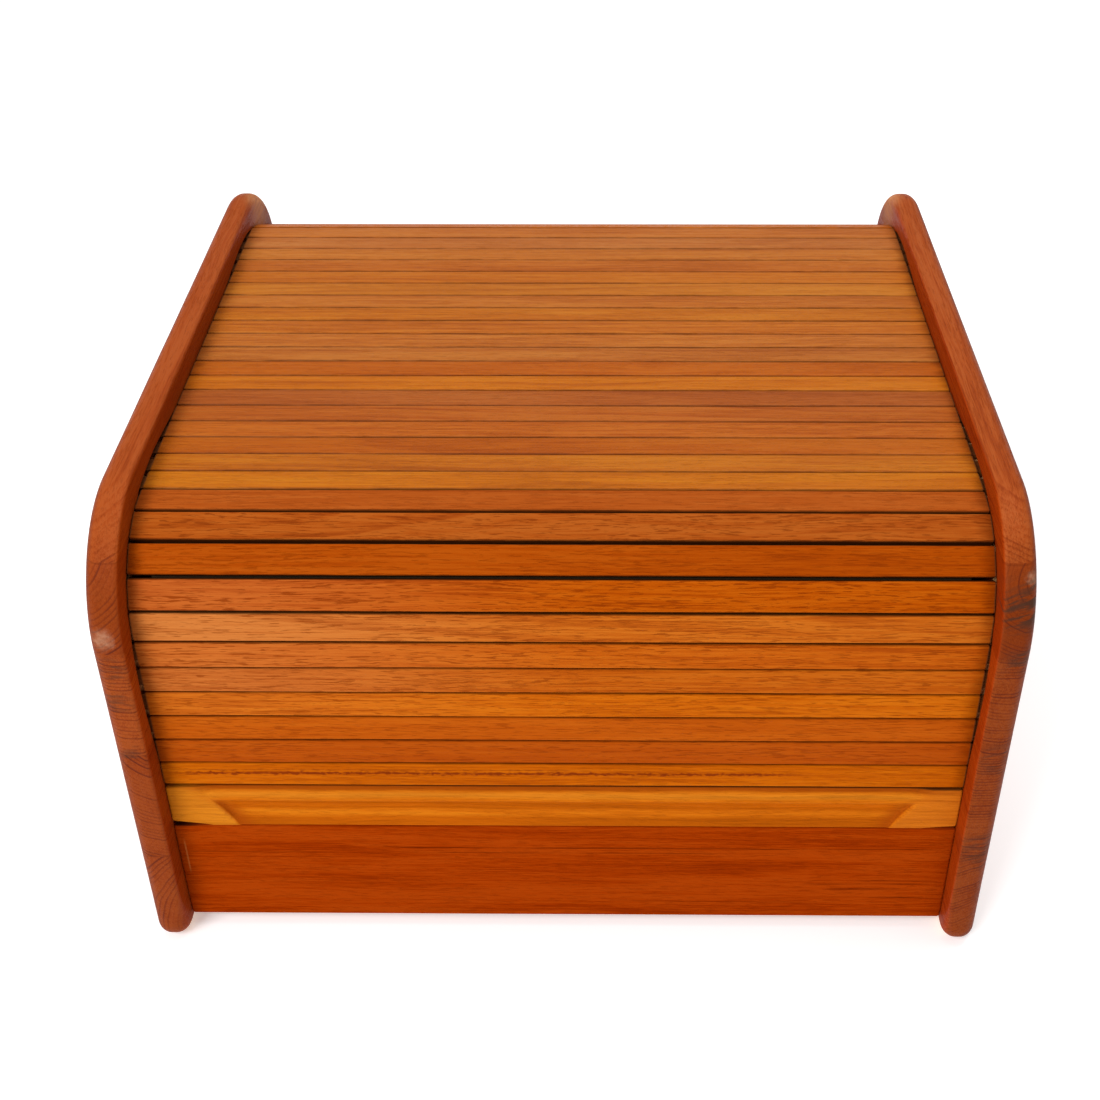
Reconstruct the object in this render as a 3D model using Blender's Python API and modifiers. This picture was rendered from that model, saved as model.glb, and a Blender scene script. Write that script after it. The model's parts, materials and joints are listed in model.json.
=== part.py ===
"""Teak bread bin with a tambour (roll-top) front.

Axes: +X to the right, +Y to the back, +Z up; the front of the bin faces -Y.
Origin: the centre of the footprint, at the height of the surface it stands on.
All lengths are in metres.
"""

import math

import bmesh
import bpy
from mathutils import Matrix, Vector

# ----------------------------------------------------------------------------
# Driving dimensions
# ----------------------------------------------------------------------------
OVERALL_WIDTH = 0.400
OVERALL_DEPTH = 0.396
OVERALL_HEIGHT = 0.241

SIDE_THICKNESS = 0.015
SIDE_EDGE_ROUND = 0.0064        # rounding of the rim's outer edge
SIDE_INNER_EASE = 0.0018        # the inner edge is only eased
SIDE_TOP_FRONT_RADIUS = 0.057
SIDE_TOP_BACK_RADIUS = 0.057
SIDE_FOOT_RADIUS = 0.012
RIM_PROUD = 0.012               # how far the sides stand proud of the slats

FIT_GAP = 0.0003                # between pieces that touch

SLAT_PITCH = 0.0142
SLAT_THICKNESS = 0.0040
SLAT_GAP = 0.00065
SLAT_OUTER_ROUND = 0.0007
SLAT_INNER_CHAMFER = 0.0004
SLAT_COUNT = 35
SLAT_END_CLEARANCE = 0.0004     # slat shoulder to side panel
TONGUE_LENGTH = 0.0052
TONGUE_WIDTH = 0.0090
TONGUE_BOTTOM = 0.0003          # above the canvas line
TONGUE_TOP = 0.0022

CORNER_RADIUS = 0.0448          # outer face of the slats, front and back corner
BACK_RUN_FROM_FRONT = 0.3578    # outer face of the slats, front run to back run

RAIL_HEIGHT = 0.0615
RAIL_THICKNESS = 0.012
RAIL_ABOVE_FEET = 0.0080
HANDLE_HEIGHT = 0.02655
HANDLE_THICKNESS = 0.0090
HANDLE_THIN_BAND = 0.0100       # upper band, as thin as a slat, over the canvas
HANDLE_TONGUE_HEIGHT = 0.0200
SCOOP_HALF_AT_BOTTOM = 0.1535
SCOOP_HALF_AT_TOP = 0.1720
SCOOP_END_RAMP = 0.0030
# the scoop's depth behind the flat ends, at heights above the handle's bottom edge
SCOOP = [(0.0000, 0.00035), (0.0030, 0.00130), (0.0050, 0.00210), (0.0070, 0.00265), (0.0090, 0.00290),
         (0.0110, 0.00280), (0.0130, 0.00230), (0.0145, 0.00160), (0.0158, 0.00080), (0.0170, 0.00005),
         (0.0185, 0.00035), (0.0200, 0.00075), (0.0220, 0.00120), (0.0265, 0.00145)]

TRAVEL_SLATS = 6                # the curtain opens by this many slats
TRAVEL = TRAVEL_SLATS * SLAT_PITCH

CANVAS_WIDTH = 0.350
CANVAS_THICKNESS = 0.0006
CANVAS_LAP = 0.0080             # onto the back of the handle slat

GROOVE_DEPTH = 0.0060
# outer wall above the canvas line, by distance outside the nearest corner:
# tight in the corners and far from them, wide beside them where slats swing out as they turn
GROOVE_OUTER = [(-0.007, 0.00255), (-0.003, 0.00310), (0.000, 0.00415), (0.003, 0.00490), (0.008, 0.00575),
                (0.016, 0.00635), (0.024, 0.00675), (0.033, 0.00675), (0.042, 0.00615), (0.056, 0.00505),
                (0.066, 0.00400), (0.074, 0.00315), (0.086, 0.00255)]
GROOVE_INNER = 0.0012           # inner wall, below the canvas line
GROOVE_CORNER_RELIEF = 0.0054   # inner wall where the curtain turns
GROOVE_RELIEF_BLEND = 0.016

FLOOR_THICKNESS = 0.006
FLOOR_ABOVE_RAIL_BOTTOM = 0.0070
HOUSING_DEPTH = 0.0040

BACK_BOARD_THICKNESS = 0.010
BACK_BOARD_FROM_BACK = 0.0080   # set in from the sides' back edge
BACK_BOARD_BOTTOM = 0.0120
BACK_BOARD_TOP = 0.205

INNER_BACK_THICKNESS = 0.005
INNER_BACK_BEFORE_RUN = 0.0128  # its rear face, in front of the canvas line
INNER_BACK_TOP = 0.168
INNER_BACK_HOUSING = 0.0030

DOWEL_DIAMETER = 0.008
DOWEL_LENGTH = 0.030
DOWEL_IN_SIDE = 0.0100
DOWEL_HEIGHTS = (0.0320, 0.0560)

# ----------------------------------------------------------------------------
# Derived positions
# ----------------------------------------------------------------------------
X_IN = OVERALL_WIDTH / 2 - SIDE_THICKNESS          # inner face of a side
Y_RIM_FRONT = -OVERALL_DEPTH / 2
Y_RIM_BACK = OVERALL_DEPTH / 2
Y_FACE = Y_RIM_FRONT + RIM_PROUD                   # front face of the slats
Z_FACE = OVERALL_HEIGHT - RIM_PROUD                # top face of the slats
Y_BACK_FACE = Y_FACE + BACK_RUN_FROM_FRONT         # back face of the slats

LINE_RADIUS = CORNER_RADIUS - SLAT_THICKNESS       # canvas line in a corner
Y_LINE_FRONT = Y_FACE + SLAT_THICKNESS
Z_LINE_TOP = Z_FACE - SLAT_THICKNESS
Y_LINE_BACK = Y_BACK_FACE - SLAT_THICKNESS
Z_CORNER = Z_FACE - CORNER_RADIUS
Y_NOSE = Y_FACE + CORNER_RADIUS
Y_TAIL = Y_BACK_FACE - CORNER_RADIUS

Z_RAIL_BOTTOM = RAIL_ABOVE_FEET
Z_RAIL_TOP = Z_RAIL_BOTTOM + RAIL_HEIGHT
Z_HANDLE_BOTTOM = Z_RAIL_TOP + FIT_GAP
Z_FIRST_SLAT = Z_HANDLE_BOTTOM + HANDLE_HEIGHT

RUN_FRONT = Z_CORNER - Z_HANDLE_BOTTOM             # lengths along the canvas line
RUN_NOSE = LINE_RADIUS * math.pi / 2
RUN_TOP = Y_TAIL - Y_NOSE


def line_point(u):
    """Point (y, z) of the canvas line, u metres along it from the handle's bottom."""
    a = RUN_FRONT
    b = a + RUN_NOSE
    c = b + RUN_TOP
    d = c + RUN_NOSE
    if u <= a:
        return Vector((Y_LINE_FRONT, Z_HANDLE_BOTTOM + u))
    if u <= b:
        t = (u - a) / LINE_RADIUS
        return Vector((Y_NOSE - LINE_RADIUS * math.cos(t), Z_CORNER + LINE_RADIUS * math.sin(t)))
    if u <= c:
        return Vector((Y_NOSE + (u - b), Z_LINE_TOP))
    if u <= d:
        t = (u - c) / LINE_RADIUS
        return Vector((Y_TAIL + LINE_RADIUS * math.sin(t), Z_CORNER + LINE_RADIUS * math.cos(t)))
    return Vector((Y_LINE_BACK, Z_CORNER - (u - d)))


def line_normal(u):
    """Unit normal (y, z) of the canvas line, pointing out of the bin."""
    a = RUN_FRONT
    b = a + RUN_NOSE
    c = b + RUN_TOP
    d = c + RUN_NOSE
    if u <= a:
        return Vector((-1.0, 0.0))
    if u <= b:
        t = (u - a) / LINE_RADIUS
        return Vector((-math.cos(t), math.sin(t)))
    if u <= c:
        return Vector((0.0, 1.0))
    if u <= d:
        t = (u - c) / LINE_RADIUS
        return Vector((math.sin(t), math.cos(t)))
    return Vector((1.0, 0.0))


def chain_nodes(start, count):
    """The joints of a chain of slats laid along the canvas line from u = start."""
    nodes = [line_point(start)]
    u = start
    for _ in range(count):
        low, high = 0.9 * SLAT_PITCH, 1.2 * SLAT_PITCH
        for _ in range(60):
            mid = (low + high) / 2
            if (line_point(u + mid) - nodes[-1]).length < SLAT_PITCH:
                low = mid
            else:
                high = mid
        u += high
        nodes.append(line_point(u))
    return nodes


def slat_poses(start):
    """Middle (y, z) on the canvas line and direction angle of each slat."""
    nodes = chain_nodes(start, SLAT_COUNT)
    poses = []
    for a, b in zip(nodes[:-1], nodes[1:]):
        d = b - a
        poses.append(((a + b) / 2, math.atan2(d.y, d.x)))
    return poses


REST = slat_poses(HANDLE_HEIGHT)
OPEN = slat_poses(HANDLE_HEIGHT + TRAVEL)


def pole(index):
    """Point (y, z) about which a slat turns from its closed to its open place.

    Returns None for a slat that only slides.
    """
    (m0, a0), (m1, a1) = REST[index], OPEN[index]
    turn = a1 - a0
    if abs(turn) < math.radians(0.1):
        return None
    mid = (m0 + m1) / 2
    d = m1 - m0
    height = 0.5 / math.tan(turn / 2)
    return mid + Vector((-d.y, d.x)) * height


# ----------------------------------------------------------------------------
# Scene and helpers
# ----------------------------------------------------------------------------
for old in list(bpy.data.objects):
    bpy.data.objects.remove(old, do_unlink=True)

PARTS = bpy.data.collections.new("bread_bin")
CUTTERS = bpy.data.collections.new("cutters")
bpy.context.scene.collection.children.link(PARTS)
bpy.context.scene.collection.children.link(CUTTERS)


def material(name, colour, roughness, metallic=0.0):
    mat = bpy.data.materials.new(name)
    mat.use_nodes = True
    shader = mat.node_tree.nodes["Principled BSDF"]
    shader.inputs["Base Color"].default_value = (*colour, 1.0)
    shader.inputs["Roughness"].default_value = roughness
    shader.inputs["Metallic"].default_value = metallic
    mat.diffuse_color = (*colour, 1.0)
    return mat


TEAK_CASE = material("teak_case", (0.36, 0.095, 0.022), 0.42)
TEAK_RAIL = material("teak_rail", (0.34, 0.075, 0.014), 0.42)
TEAK_SLAT = material("teak_slat", (0.46, 0.150, 0.036), 0.45)
TEAK_SLAT_DARK = material("teak_slat_dark", (0.38, 0.100, 0.024), 0.45)
TEAK_HANDLE = material("teak_handle", (0.62, 0.230, 0.035), 0.40)
TEAK_PLY = material("teak_ply", (0.44, 0.190, 0.065), 0.55)
CANVAS = material("canvas_brown", (0.055, 0.032, 0.018), 0.95)
BEECH = material("beech_dowel", (0.62, 0.42, 0.24), 0.60)


def add(name, mesh, mat, collection=PARTS):
    obj = bpy.data.objects.new(name, mesh)
    collection.objects.link(obj)
    if mat is not None and not mesh.materials:
        mesh.materials.append(mat)
    if collection is CUTTERS:
        obj.hide_render = True
        obj.display_type = "WIRE"
    return obj


def outline_solid(name, points, half, mat, collection=PARTS, edge_round=0.0, steps=3):
    """A flat outline in (y, z), given thickness along X and centred on X = 0."""
    curve = bpy.data.curves.new(name + "_outline", "CURVE")
    curve.dimensions = "2D"
    curve.fill_mode = "BOTH"
    curve.extrude = half - edge_round
    curve.bevel_depth = edge_round
    curve.bevel_resolution = steps
    curve.offset = -edge_round
    spline = curve.splines.new("POLY")
    spline.points.add(len(points) - 1)
    for slot, (y, z) in zip(spline.points, points):
        slot.co = (y, z, 0.0, 1.0)
    spline.use_cyclic_u = True
    holder = bpy.data.objects.new(name + "_outline", curve)
    bpy.context.scene.collection.objects.link(holder)
    bpy.context.view_layer.update()
    graph = bpy.context.evaluated_depsgraph_get()
    mesh = bpy.data.meshes.new_from_object(holder.evaluated_get(graph))
    bpy.data.objects.remove(holder, do_unlink=True)
    bpy.data.curves.remove(curve)
    mesh.name = name
    # the outline was drawn in the curve's own X and Y: turn them to Y and Z
    mesh.transform(Matrix(((0, 0, 1, 0), (1, 0, 0, 0), (0, 1, 0, 0), (0, 0, 0, 1))))
    bm = bmesh.new()
    bm.from_mesh(mesh)
    bmesh.ops.remove_doubles(bm, verts=bm.verts, dist=0.00001)
    bmesh.ops.dissolve_limit(bm, angle_limit=math.radians(0.1), verts=bm.verts, edges=bm.edges)
    bmesh.ops.recalc_face_normals(bm, faces=bm.faces)
    bm.to_mesh(mesh)
    bm.free()
    return add(name, mesh, mat, collection)


def block(name, low, high, mat, collection=PARTS):
    """A box between two corners, with its mesh in place and its origin in the middle."""
    low, high = Vector(low), Vector(high)
    size = high - low
    bm = bmesh.new()
    bmesh.ops.create_cube(bm, size=1.0)
    bmesh.ops.scale(bm, vec=size, verts=bm.verts)
    mesh = bpy.data.meshes.new(name)
    bm.to_mesh(mesh)
    bm.free()
    obj = add(name, mesh, mat, collection)
    obj.location = (low + high) / 2
    return obj


def rod(name, x0, x1, y, z, diameter, mat, collection=PARTS, sides=20):
    """A round rod along X."""
    bm = bmesh.new()
    bmesh.ops.create_cone(bm, cap_ends=True, segments=sides, radius1=diameter / 2,
                          radius2=diameter / 2, depth=abs(x1 - x0))
    bmesh.ops.rotate(bm, verts=bm.verts, matrix=Matrix.Rotation(math.pi / 2, 3, "Y"))
    mesh = bpy.data.meshes.new(name)
    bm.to_mesh(mesh)
    bm.free()
    obj = add(name, mesh, mat, collection)
    obj.location = ((x0 + x1) / 2, y, z)
    return obj


def boolean(obj, tool, operation="DIFFERENCE"):
    mod = obj.modifiers.new(tool.name, "BOOLEAN")
    mod.object = tool
    mod.operation = operation
    mod.solver = "EXACT"
    return mod


def soften(obj, width, segments=2):
    mod = obj.modifiers.new("edge_round", "BEVEL")
    mod.width = width
    mod.segments = segments
    mod.limit_method = "ANGLE"
    mod.angle_limit = math.radians(50)
    return mod


def smooth(obj, angle=35.0):
    obj.data.shade_smooth()
    obj.data.set_sharp_from_angle(angle=math.radians(angle))


def arc(cy, cz, radius, start, end, steps):
    """Points of an arc in (y, z); angles in degrees from +Y towards +Z."""
    out = []
    for i in range(steps + 1):
        t = math.radians(start + (end - start) * i / steps)
        out.append((cy + radius * math.cos(t), cz + radius * math.sin(t)))
    return out


# ----------------------------------------------------------------------------
# Sides
# ----------------------------------------------------------------------------
def side_outline():
    """The outline's points in (y, z), each with its outward normal."""
    r1, r2, rf = SIDE_TOP_FRONT_RADIUS, SIDE_TOP_BACK_RADIUS, SIDE_FOOT_RADIUS
    out = []
    for cy, cz, radius, start, end, steps in (
            (Y_RIM_FRONT + rf, rf, rf, 270, 180, 6),
            (Y_RIM_FRONT + r1, OVERALL_HEIGHT - r1, r1, 180, 90, 16),
            (Y_RIM_BACK - r2, OVERALL_HEIGHT - r2, r2, 90, 0, 16),
            (Y_RIM_BACK - rf, rf, rf, 0, -90, 6)):
        for i in range(steps + 1):
            t = math.radians(start + (end - start) * i / steps)
            normal = Vector((math.cos(t), math.sin(t)))
            out.append((Vector((cy, cz)) + radius * normal, normal))
    return out


def side_solid(name, sign):
    """A side: its rim is eased inside and well rounded outside."""
    half = SIDE_THICKNESS / 2
    section = []
    for i in range(3):
        t = math.pi / 2 * i / 2
        section.append((-half + SIDE_INNER_EASE * (1 - math.cos(t)), SIDE_INNER_EASE * (1 - math.sin(t))))
    for i in range(6):
        t = math.pi / 2 * i / 5
        section.append((half - SIDE_EDGE_ROUND * (1 - math.sin(t)), SIDE_EDGE_ROUND * (1 - math.cos(t))))
    bm = bmesh.new()
    loops = []
    for across, inset in section:
        loops.append([bm.verts.new((sign * across, *(point - normal * inset)))
                      for point, normal in side_outline()])
    count = len(loops[0])
    for first, second in zip(loops[:-1], loops[1:]):
        for k in range(count):
            bm.faces.new((first[k], first[(k + 1) % count], second[(k + 1) % count], second[k]))
    bm.faces.new(loops[0])
    bm.faces.new(loops[-1])
    bmesh.ops.recalc_face_normals(bm, faces=bm.faces)
    mesh = bpy.data.meshes.new(name)
    bm.to_mesh(mesh)
    bm.free()
    return add(name, mesh, TEAK_CASE)


def groove_outline():
    """Outline of the groove in which the slats' tongues run."""
    end = RUN_FRONT + RUN_NOSE + RUN_TOP + RUN_NOSE
    nose = (RUN_FRONT, RUN_FRONT + RUN_NOSE)
    tail = (nose[1] + RUN_TOP, end)
    nodes_open = chain_nodes(HANDLE_HEIGHT + TRAVEL, SLAT_COUNT)
    last = end + (Z_CORNER - nodes_open[-1].y) + 0.0004

    def relief(u):
        best = 0.0
        for a, b in (nose, tail):
            if a <= u <= b:
                near = 1.0
            else:
                gap = a - u if u < a else u - b
                near = max(0.0, 1.0 - gap / GROOVE_RELIEF_BLEND)
            best = max(best, near * near * (3 - 2 * near))
        return best

    def outer_wall(u):
        best = GROOVE_OUTER[0][1]
        for a, b in (nose, tail):
            gap = max(a - u, u - b)
            for (g0, w0), (g1, w1) in zip(GROOVE_OUTER[:-1], GROOVE_OUTER[1:]):
                if g0 <= gap <= g1:
                    best = max(best, w0 + (w1 - w0) * (gap - g0) / (g1 - g0))
        return best

    stations = [-FIT_GAP / 2]
    for a, b in (nose, tail):
        stations += [a - g for g, _ in GROOVE_OUTER] + [b + g for g, _ in GROOVE_OUTER]
        stations += [a + (b - a) * k / 12 for k in range(2, 11)]
        stations += [a - GROOVE_RELIEF_BLEND / 4, b + GROOVE_RELIEF_BLEND / 4]
        stations += [a - GROOVE_RELIEF_BLEND * 3 / 4, b + GROOVE_RELIEF_BLEND * 3 / 4]
    stations.append(last)
    outer, inner = [], []
    for u in sorted(u for u in stations if u <= last):
        p, n = line_point(u), line_normal(u)
        inset = GROOVE_INNER + (GROOVE_CORNER_RELIEF - GROOVE_INNER) * relief(u)
        outer.append(tuple(p + n * outer_wall(u)))
        inner.append(tuple(p - n * inset))
    return outer + inner[::-1]


Z_FLOOR = Z_RAIL_BOTTOM + FLOOR_ABOVE_RAIL_BOTTOM
Y_BOARD_BACK = Y_RIM_BACK - BACK_BOARD_FROM_BACK
Y_BOARD_FRONT = Y_BOARD_BACK - BACK_BOARD_THICKNESS
Y_INNER_BACK = Y_LINE_BACK - INNER_BACK_BEFORE_RUN          # rear face
Y_RAIL_BACK = Y_FACE + RAIL_THICKNESS
Y_DOWEL = Y_FACE + RAIL_THICKNESS / 2
X_FLOOR = X_IN + HOUSING_DEPTH - FIT_GAP
X_BOARD = X_IN + HOUSING_DEPTH - FIT_GAP
X_INNER = X_IN + INNER_BACK_HOUSING - FIT_GAP

groove = outline_solid("groove_cutter", groove_outline(), GROOVE_DEPTH, None, CUTTERS)
g = FIT_GAP
over = 0.004


def housing(name, depth, y0, y1, z0, z1, sign):
    xa, xb = X_IN - over, X_IN + depth
    low = (min(sign * xa, sign * xb), y0, z0)
    high = (max(sign * xa, sign * xb), y1, z1)
    return block(name, low, high, None, CUTTERS)


for label, sign in (("left", -1), ("right", 1)):
    side = side_solid("side_" + label, sign)
    side.location.x = sign * (X_IN + SIDE_THICKNESS / 2)
    run = add("groove_cutter_" + label, groove.data, None, CUTTERS)
    run.location.x = sign * X_IN
    tools = [
        run,
        housing("floor_housing_" + label, HOUSING_DEPTH, Y_FACE + RAIL_THICKNESS / 2,
                Y_BOARD_BACK - 0.0045, Z_FLOOR - g, Z_FLOOR + FLOOR_THICKNESS + g, sign),
        housing("board_housing_" + label, HOUSING_DEPTH, Y_BOARD_FRONT - g, Y_BOARD_BACK + g,
                BACK_BOARD_BOTTOM - g, BACK_BOARD_TOP + g, sign),
        housing("inner_back_housing_" + label, INNER_BACK_HOUSING,
                Y_INNER_BACK - INNER_BACK_THICKNESS - g, Y_INNER_BACK + g,
                Z_FLOOR + FLOOR_THICKNESS - 0.001, INNER_BACK_TOP + g, sign),
    ]
    for level, height in zip(("lower", "upper"), DOWEL_HEIGHTS):
        tools.append(rod("side_dowel_hole_%s_%s" % (label, level), sign * (X_IN - over),
                         sign * (X_IN + DOWEL_IN_SIDE + g), Y_DOWEL, height,
                         DOWEL_DIAMETER + 2 * g, None, CUTTERS))
    for tool in tools:
        boolean(side, tool)
    smooth(side)

# ----------------------------------------------------------------------------
# Front rail and its dowels
# ----------------------------------------------------------------------------
rail = block("front_rail", (-X_IN + g, Y_FACE, Z_RAIL_BOTTOM),
             (X_IN - g, Y_RAIL_BACK, Z_RAIL_TOP), TEAK_RAIL)
soften(rail, 0.0008)
rail_tools = [
    block("rail_floor_groove", (-X_IN - over, Y_RAIL_BACK - HOUSING_DEPTH, Z_FLOOR - g),
          (X_IN + over, Y_RAIL_BACK + over, Z_FLOOR + FLOOR_THICKNESS + g), None, CUTTERS),
]
for label, sign in (("left", -1), ("right", 1)):
    for level, height in zip(("lower", "upper"), DOWEL_HEIGHTS):
        x_out = sign * (X_IN + DOWEL_IN_SIDE)
        x_in = x_out - sign * DOWEL_LENGTH
        rail_tools.append(rod("rail_dowel_hole_%s_%s" % (label, level), sign * (X_IN + over),
                              x_in - sign * g, Y_DOWEL, height, DOWEL_DIAMETER + 2 * g,
                              None, CUTTERS))
        pin = rod("rail_dowel_%s_%s" % (label, level), x_in, x_out, Y_DOWEL, height,
                  DOWEL_DIAMETER, BEECH)
        soften(pin, 0.0008, 1)
        smooth(pin)
for tool in rail_tools:
    boolean(rail, tool)

# ----------------------------------------------------------------------------
# Floor, back board and inner back
# ----------------------------------------------------------------------------
floor = block("floor_panel", (-X_FLOOR, Y_RAIL_BACK - HOUSING_DEPTH + g, Z_FLOOR),
              (X_FLOOR, Y_BOARD_FRONT + HOUSING_DEPTH - g, Z_FLOOR + FLOOR_THICKNESS), TEAK_PLY)

board = block("back_board", (-X_BOARD, Y_BOARD_FRONT, BACK_BOARD_BOTTOM),
              (X_BOARD, Y_BOARD_BACK, BACK_BOARD_TOP), TEAK_CASE)
soften(board, 0.0008)
boolean(board, block("board_floor_groove",
                     (-X_IN - 2 * over, Y_BOARD_FRONT - over, Z_FLOOR - g),
                     (X_IN + 2 * over, Y_BOARD_FRONT + HOUSING_DEPTH,
                      Z_FLOOR + FLOOR_THICKNESS + g), None, CUTTERS))

inner_back = block("inner_back",
                   (-X_INNER, Y_INNER_BACK - INNER_BACK_THICKNESS,
                    Z_FLOOR + FLOOR_THICKNESS + g),
                   (X_INNER, Y_INNER_BACK, INNER_BACK_TOP), TEAK_PLY)
soften(inner_back, 0.0006)

# ----------------------------------------------------------------------------
# Tambour: slats
# ----------------------------------------------------------------------------
SLAT_HALF = X_IN - SLAT_END_CLEARANCE


def slat_section():
    """Cross-section in (along the curtain, outwards), middle of the inner face at 0, 0."""
    w = (SLAT_PITCH - SLAT_GAP) / 2
    c, r, t = SLAT_INNER_CHAMFER, SLAT_OUTER_ROUND, SLAT_THICKNESS
    points = [(-w + c, 0.0), (w - c, 0.0), (w, c)]
    points += arc(w - r, t - r, r, 0, 90, 3)
    points += arc(-w + r, t - r, r, 90, 180, 3)
    points.append((-w, c))
    return points


master = outline_solid("slat_master", slat_section(), SLAT_HALF, TEAK_SLAT, CUTTERS)
tongue = block("slat_tongues", (-SLAT_HALF - TONGUE_LENGTH, -TONGUE_WIDTH / 2, TONGUE_BOTTOM),
               (SLAT_HALF + TONGUE_LENGTH, TONGUE_WIDTH / 2, TONGUE_TOP), None, CUTTERS)
boolean(master, tongue, "UNION")
bpy.context.view_layer.update()
slat_mesh = bpy.data.meshes.new_from_object(
    master.evaluated_get(bpy.context.evaluated_depsgraph_get()))
slat_mesh.name = "slat"
bpy.data.objects.remove(master, do_unlink=True)
bpy.data.objects.remove(tongue, do_unlink=True)
slat_mesh.shade_smooth()
slat_mesh.set_sharp_from_angle(angle=math.radians(30))
slat_mesh.materials.clear()
slat_mesh.materials.append(TEAK_SLAT)
slat_mesh_dark = slat_mesh.copy()
slat_mesh_dark.materials.clear()
slat_mesh_dark.materials.append(TEAK_SLAT_DARK)

for i in range(SLAT_COUNT):
    middle, angle = REST[i]
    name = "slat_%02d" % (i + 1)
    slat = add(name, slat_mesh_dark if i % 3 == 1 else slat_mesh, None)
    centre = pole(i)
    place = Vector((0.0, middle.x, middle.y))
    # the section's own Y runs along the curtain, its Z out of the bin
    slat.rotation_euler = (angle, 0.0, 0.0)
    if centre is None:
        slat.location = place
    else:
        axis = bpy.data.objects.new("axis_" + name, None)
        PARTS.objects.link(axis)
        axis.empty_display_size = 0.01
        axis.location = (0.0, centre.x, centre.y)
        slat.parent = axis
        slat.location = place - axis.location

# ----------------------------------------------------------------------------
# Tambour: handle slat, with a finger scoop along it
# ----------------------------------------------------------------------------
def handle_section():
    top = Z_FIRST_SLAT - SLAT_GAP / 2
    bottom = Z_HANDLE_BOTTOM
    r = SLAT_OUTER_ROUND
    back = Y_FACE + HANDLE_THICKNESS
    step = top - HANDLE_THIN_BAND
    points = [(Y_LINE_FRONT - SLAT_INNER_CHAMFER, top), (Y_LINE_FRONT, top - SLAT_INNER_CHAMFER)]
    points += [(Y_LINE_FRONT, step), (back - 0.001, step - 0.001), (back, step - 0.002)]
    points += [(back, bottom + 0.0008), (back - 0.0008, bottom)]
    points += arc(Y_FACE + r, bottom + r, r, 270, 180, 3)
    points += arc(Y_FACE + r, top - r, r, 180, 90, 3)
    return points


handle = outline_solid("handle_slat", handle_section(), SLAT_HALF, TEAK_HANDLE)
tongue_low = Z_HANDLE_BOTTOM + 0.0015
handle_tongue = block("handle_tongues",
                      (-SLAT_HALF - TONGUE_LENGTH, Y_LINE_FRONT - TONGUE_TOP, tongue_low),
                      (SLAT_HALF + TONGUE_LENGTH, Y_LINE_FRONT - TONGUE_BOTTOM,
                       tongue_low + HANDLE_TONGUE_HEIGHT), None, CUTTERS)
boolean(handle, handle_tongue, "UNION")

# the scoop runs between slanting ends, each a short ramp up to the face
bm = bmesh.new()
loops = []
for height, depth in [(-0.0010, SCOOP[0][1])] + SCOOP[1:-1] + [(HANDLE_HEIGHT + 0.0010, SCOOP[-1][1])]:
    half = SCOOP_HALF_AT_BOTTOM + (SCOOP_HALF_AT_TOP - SCOOP_HALF_AT_BOTTOM) * height / HANDLE_HEIGHT
    inner = half - SCOOP_END_RAMP
    z = Z_HANDLE_BOTTOM + height
    loops.append([bm.verts.new(co) for co in (
        (-half, Y_FACE - 0.0050, z), (half, Y_FACE - 0.0050, z), (half, Y_FACE - 0.0001, z),
        (inner, Y_FACE + depth, z), (-inner, Y_FACE + depth, z), (-half, Y_FACE - 0.0001, z))])
for first, second in zip(loops[:-1], loops[1:]):
    for k in range(6):
        bm.faces.new((first[k], first[(k + 1) % 6], second[(k + 1) % 6], second[k]))
bm.faces.new(loops[0])
bm.faces.new(loops[-1])
bmesh.ops.triangulate(bm, faces=bm.faces)
bmesh.ops.recalc_face_normals(bm, faces=bm.faces)
scoop_mesh = bpy.data.meshes.new("scoop_cutter")
bm.to_mesh(scoop_mesh)
bm.free()
scoop = add("scoop_cutter", scoop_mesh, None, CUTTERS)
boolean(handle, scoop)
smooth(handle, 25)

# ----------------------------------------------------------------------------
# Tambour: the canvas that the slats are glued to
# ----------------------------------------------------------------------------
nodes = chain_nodes(HANDLE_HEIGHT, SLAT_COUNT)
spine = [Vector((Y_LINE_FRONT, Z_FIRST_SLAT - CANVAS_LAP))] + nodes


def offset_spine(distance):
    out = []
    for i, here in enumerate(spine):
        normals = []
        if i > 0:
            d = (here - spine[i - 1]).normalized()
            normals.append(Vector((-d.y, d.x)))
        if i < len(spine) - 1:
            d = (spine[i + 1] - here).normalized()
            normals.append(Vector((-d.y, d.x)))
        n = sum(normals, Vector((0.0, 0.0)))
        n.normalize()
        stretch = 1.0 / max(0.2, n.dot(normals[0]))
        out.append(tuple(here + n * distance * stretch))
    return out


outside = offset_spine(-FIT_GAP)
inside = offset_spine(-FIT_GAP - CANVAS_THICKNESS)
outline_solid("tambour_canvas", outside + inside[::-1], CANVAS_WIDTH / 2, CANVAS)
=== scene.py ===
"""Looks of the roll-top bread bin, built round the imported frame.

Lengths are in metres, +Z up, the front of the bin faces -Y.
"""

import json
import math
import random

import bmesh
import bpy
from mathutils import Matrix, Vector, noise


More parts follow.
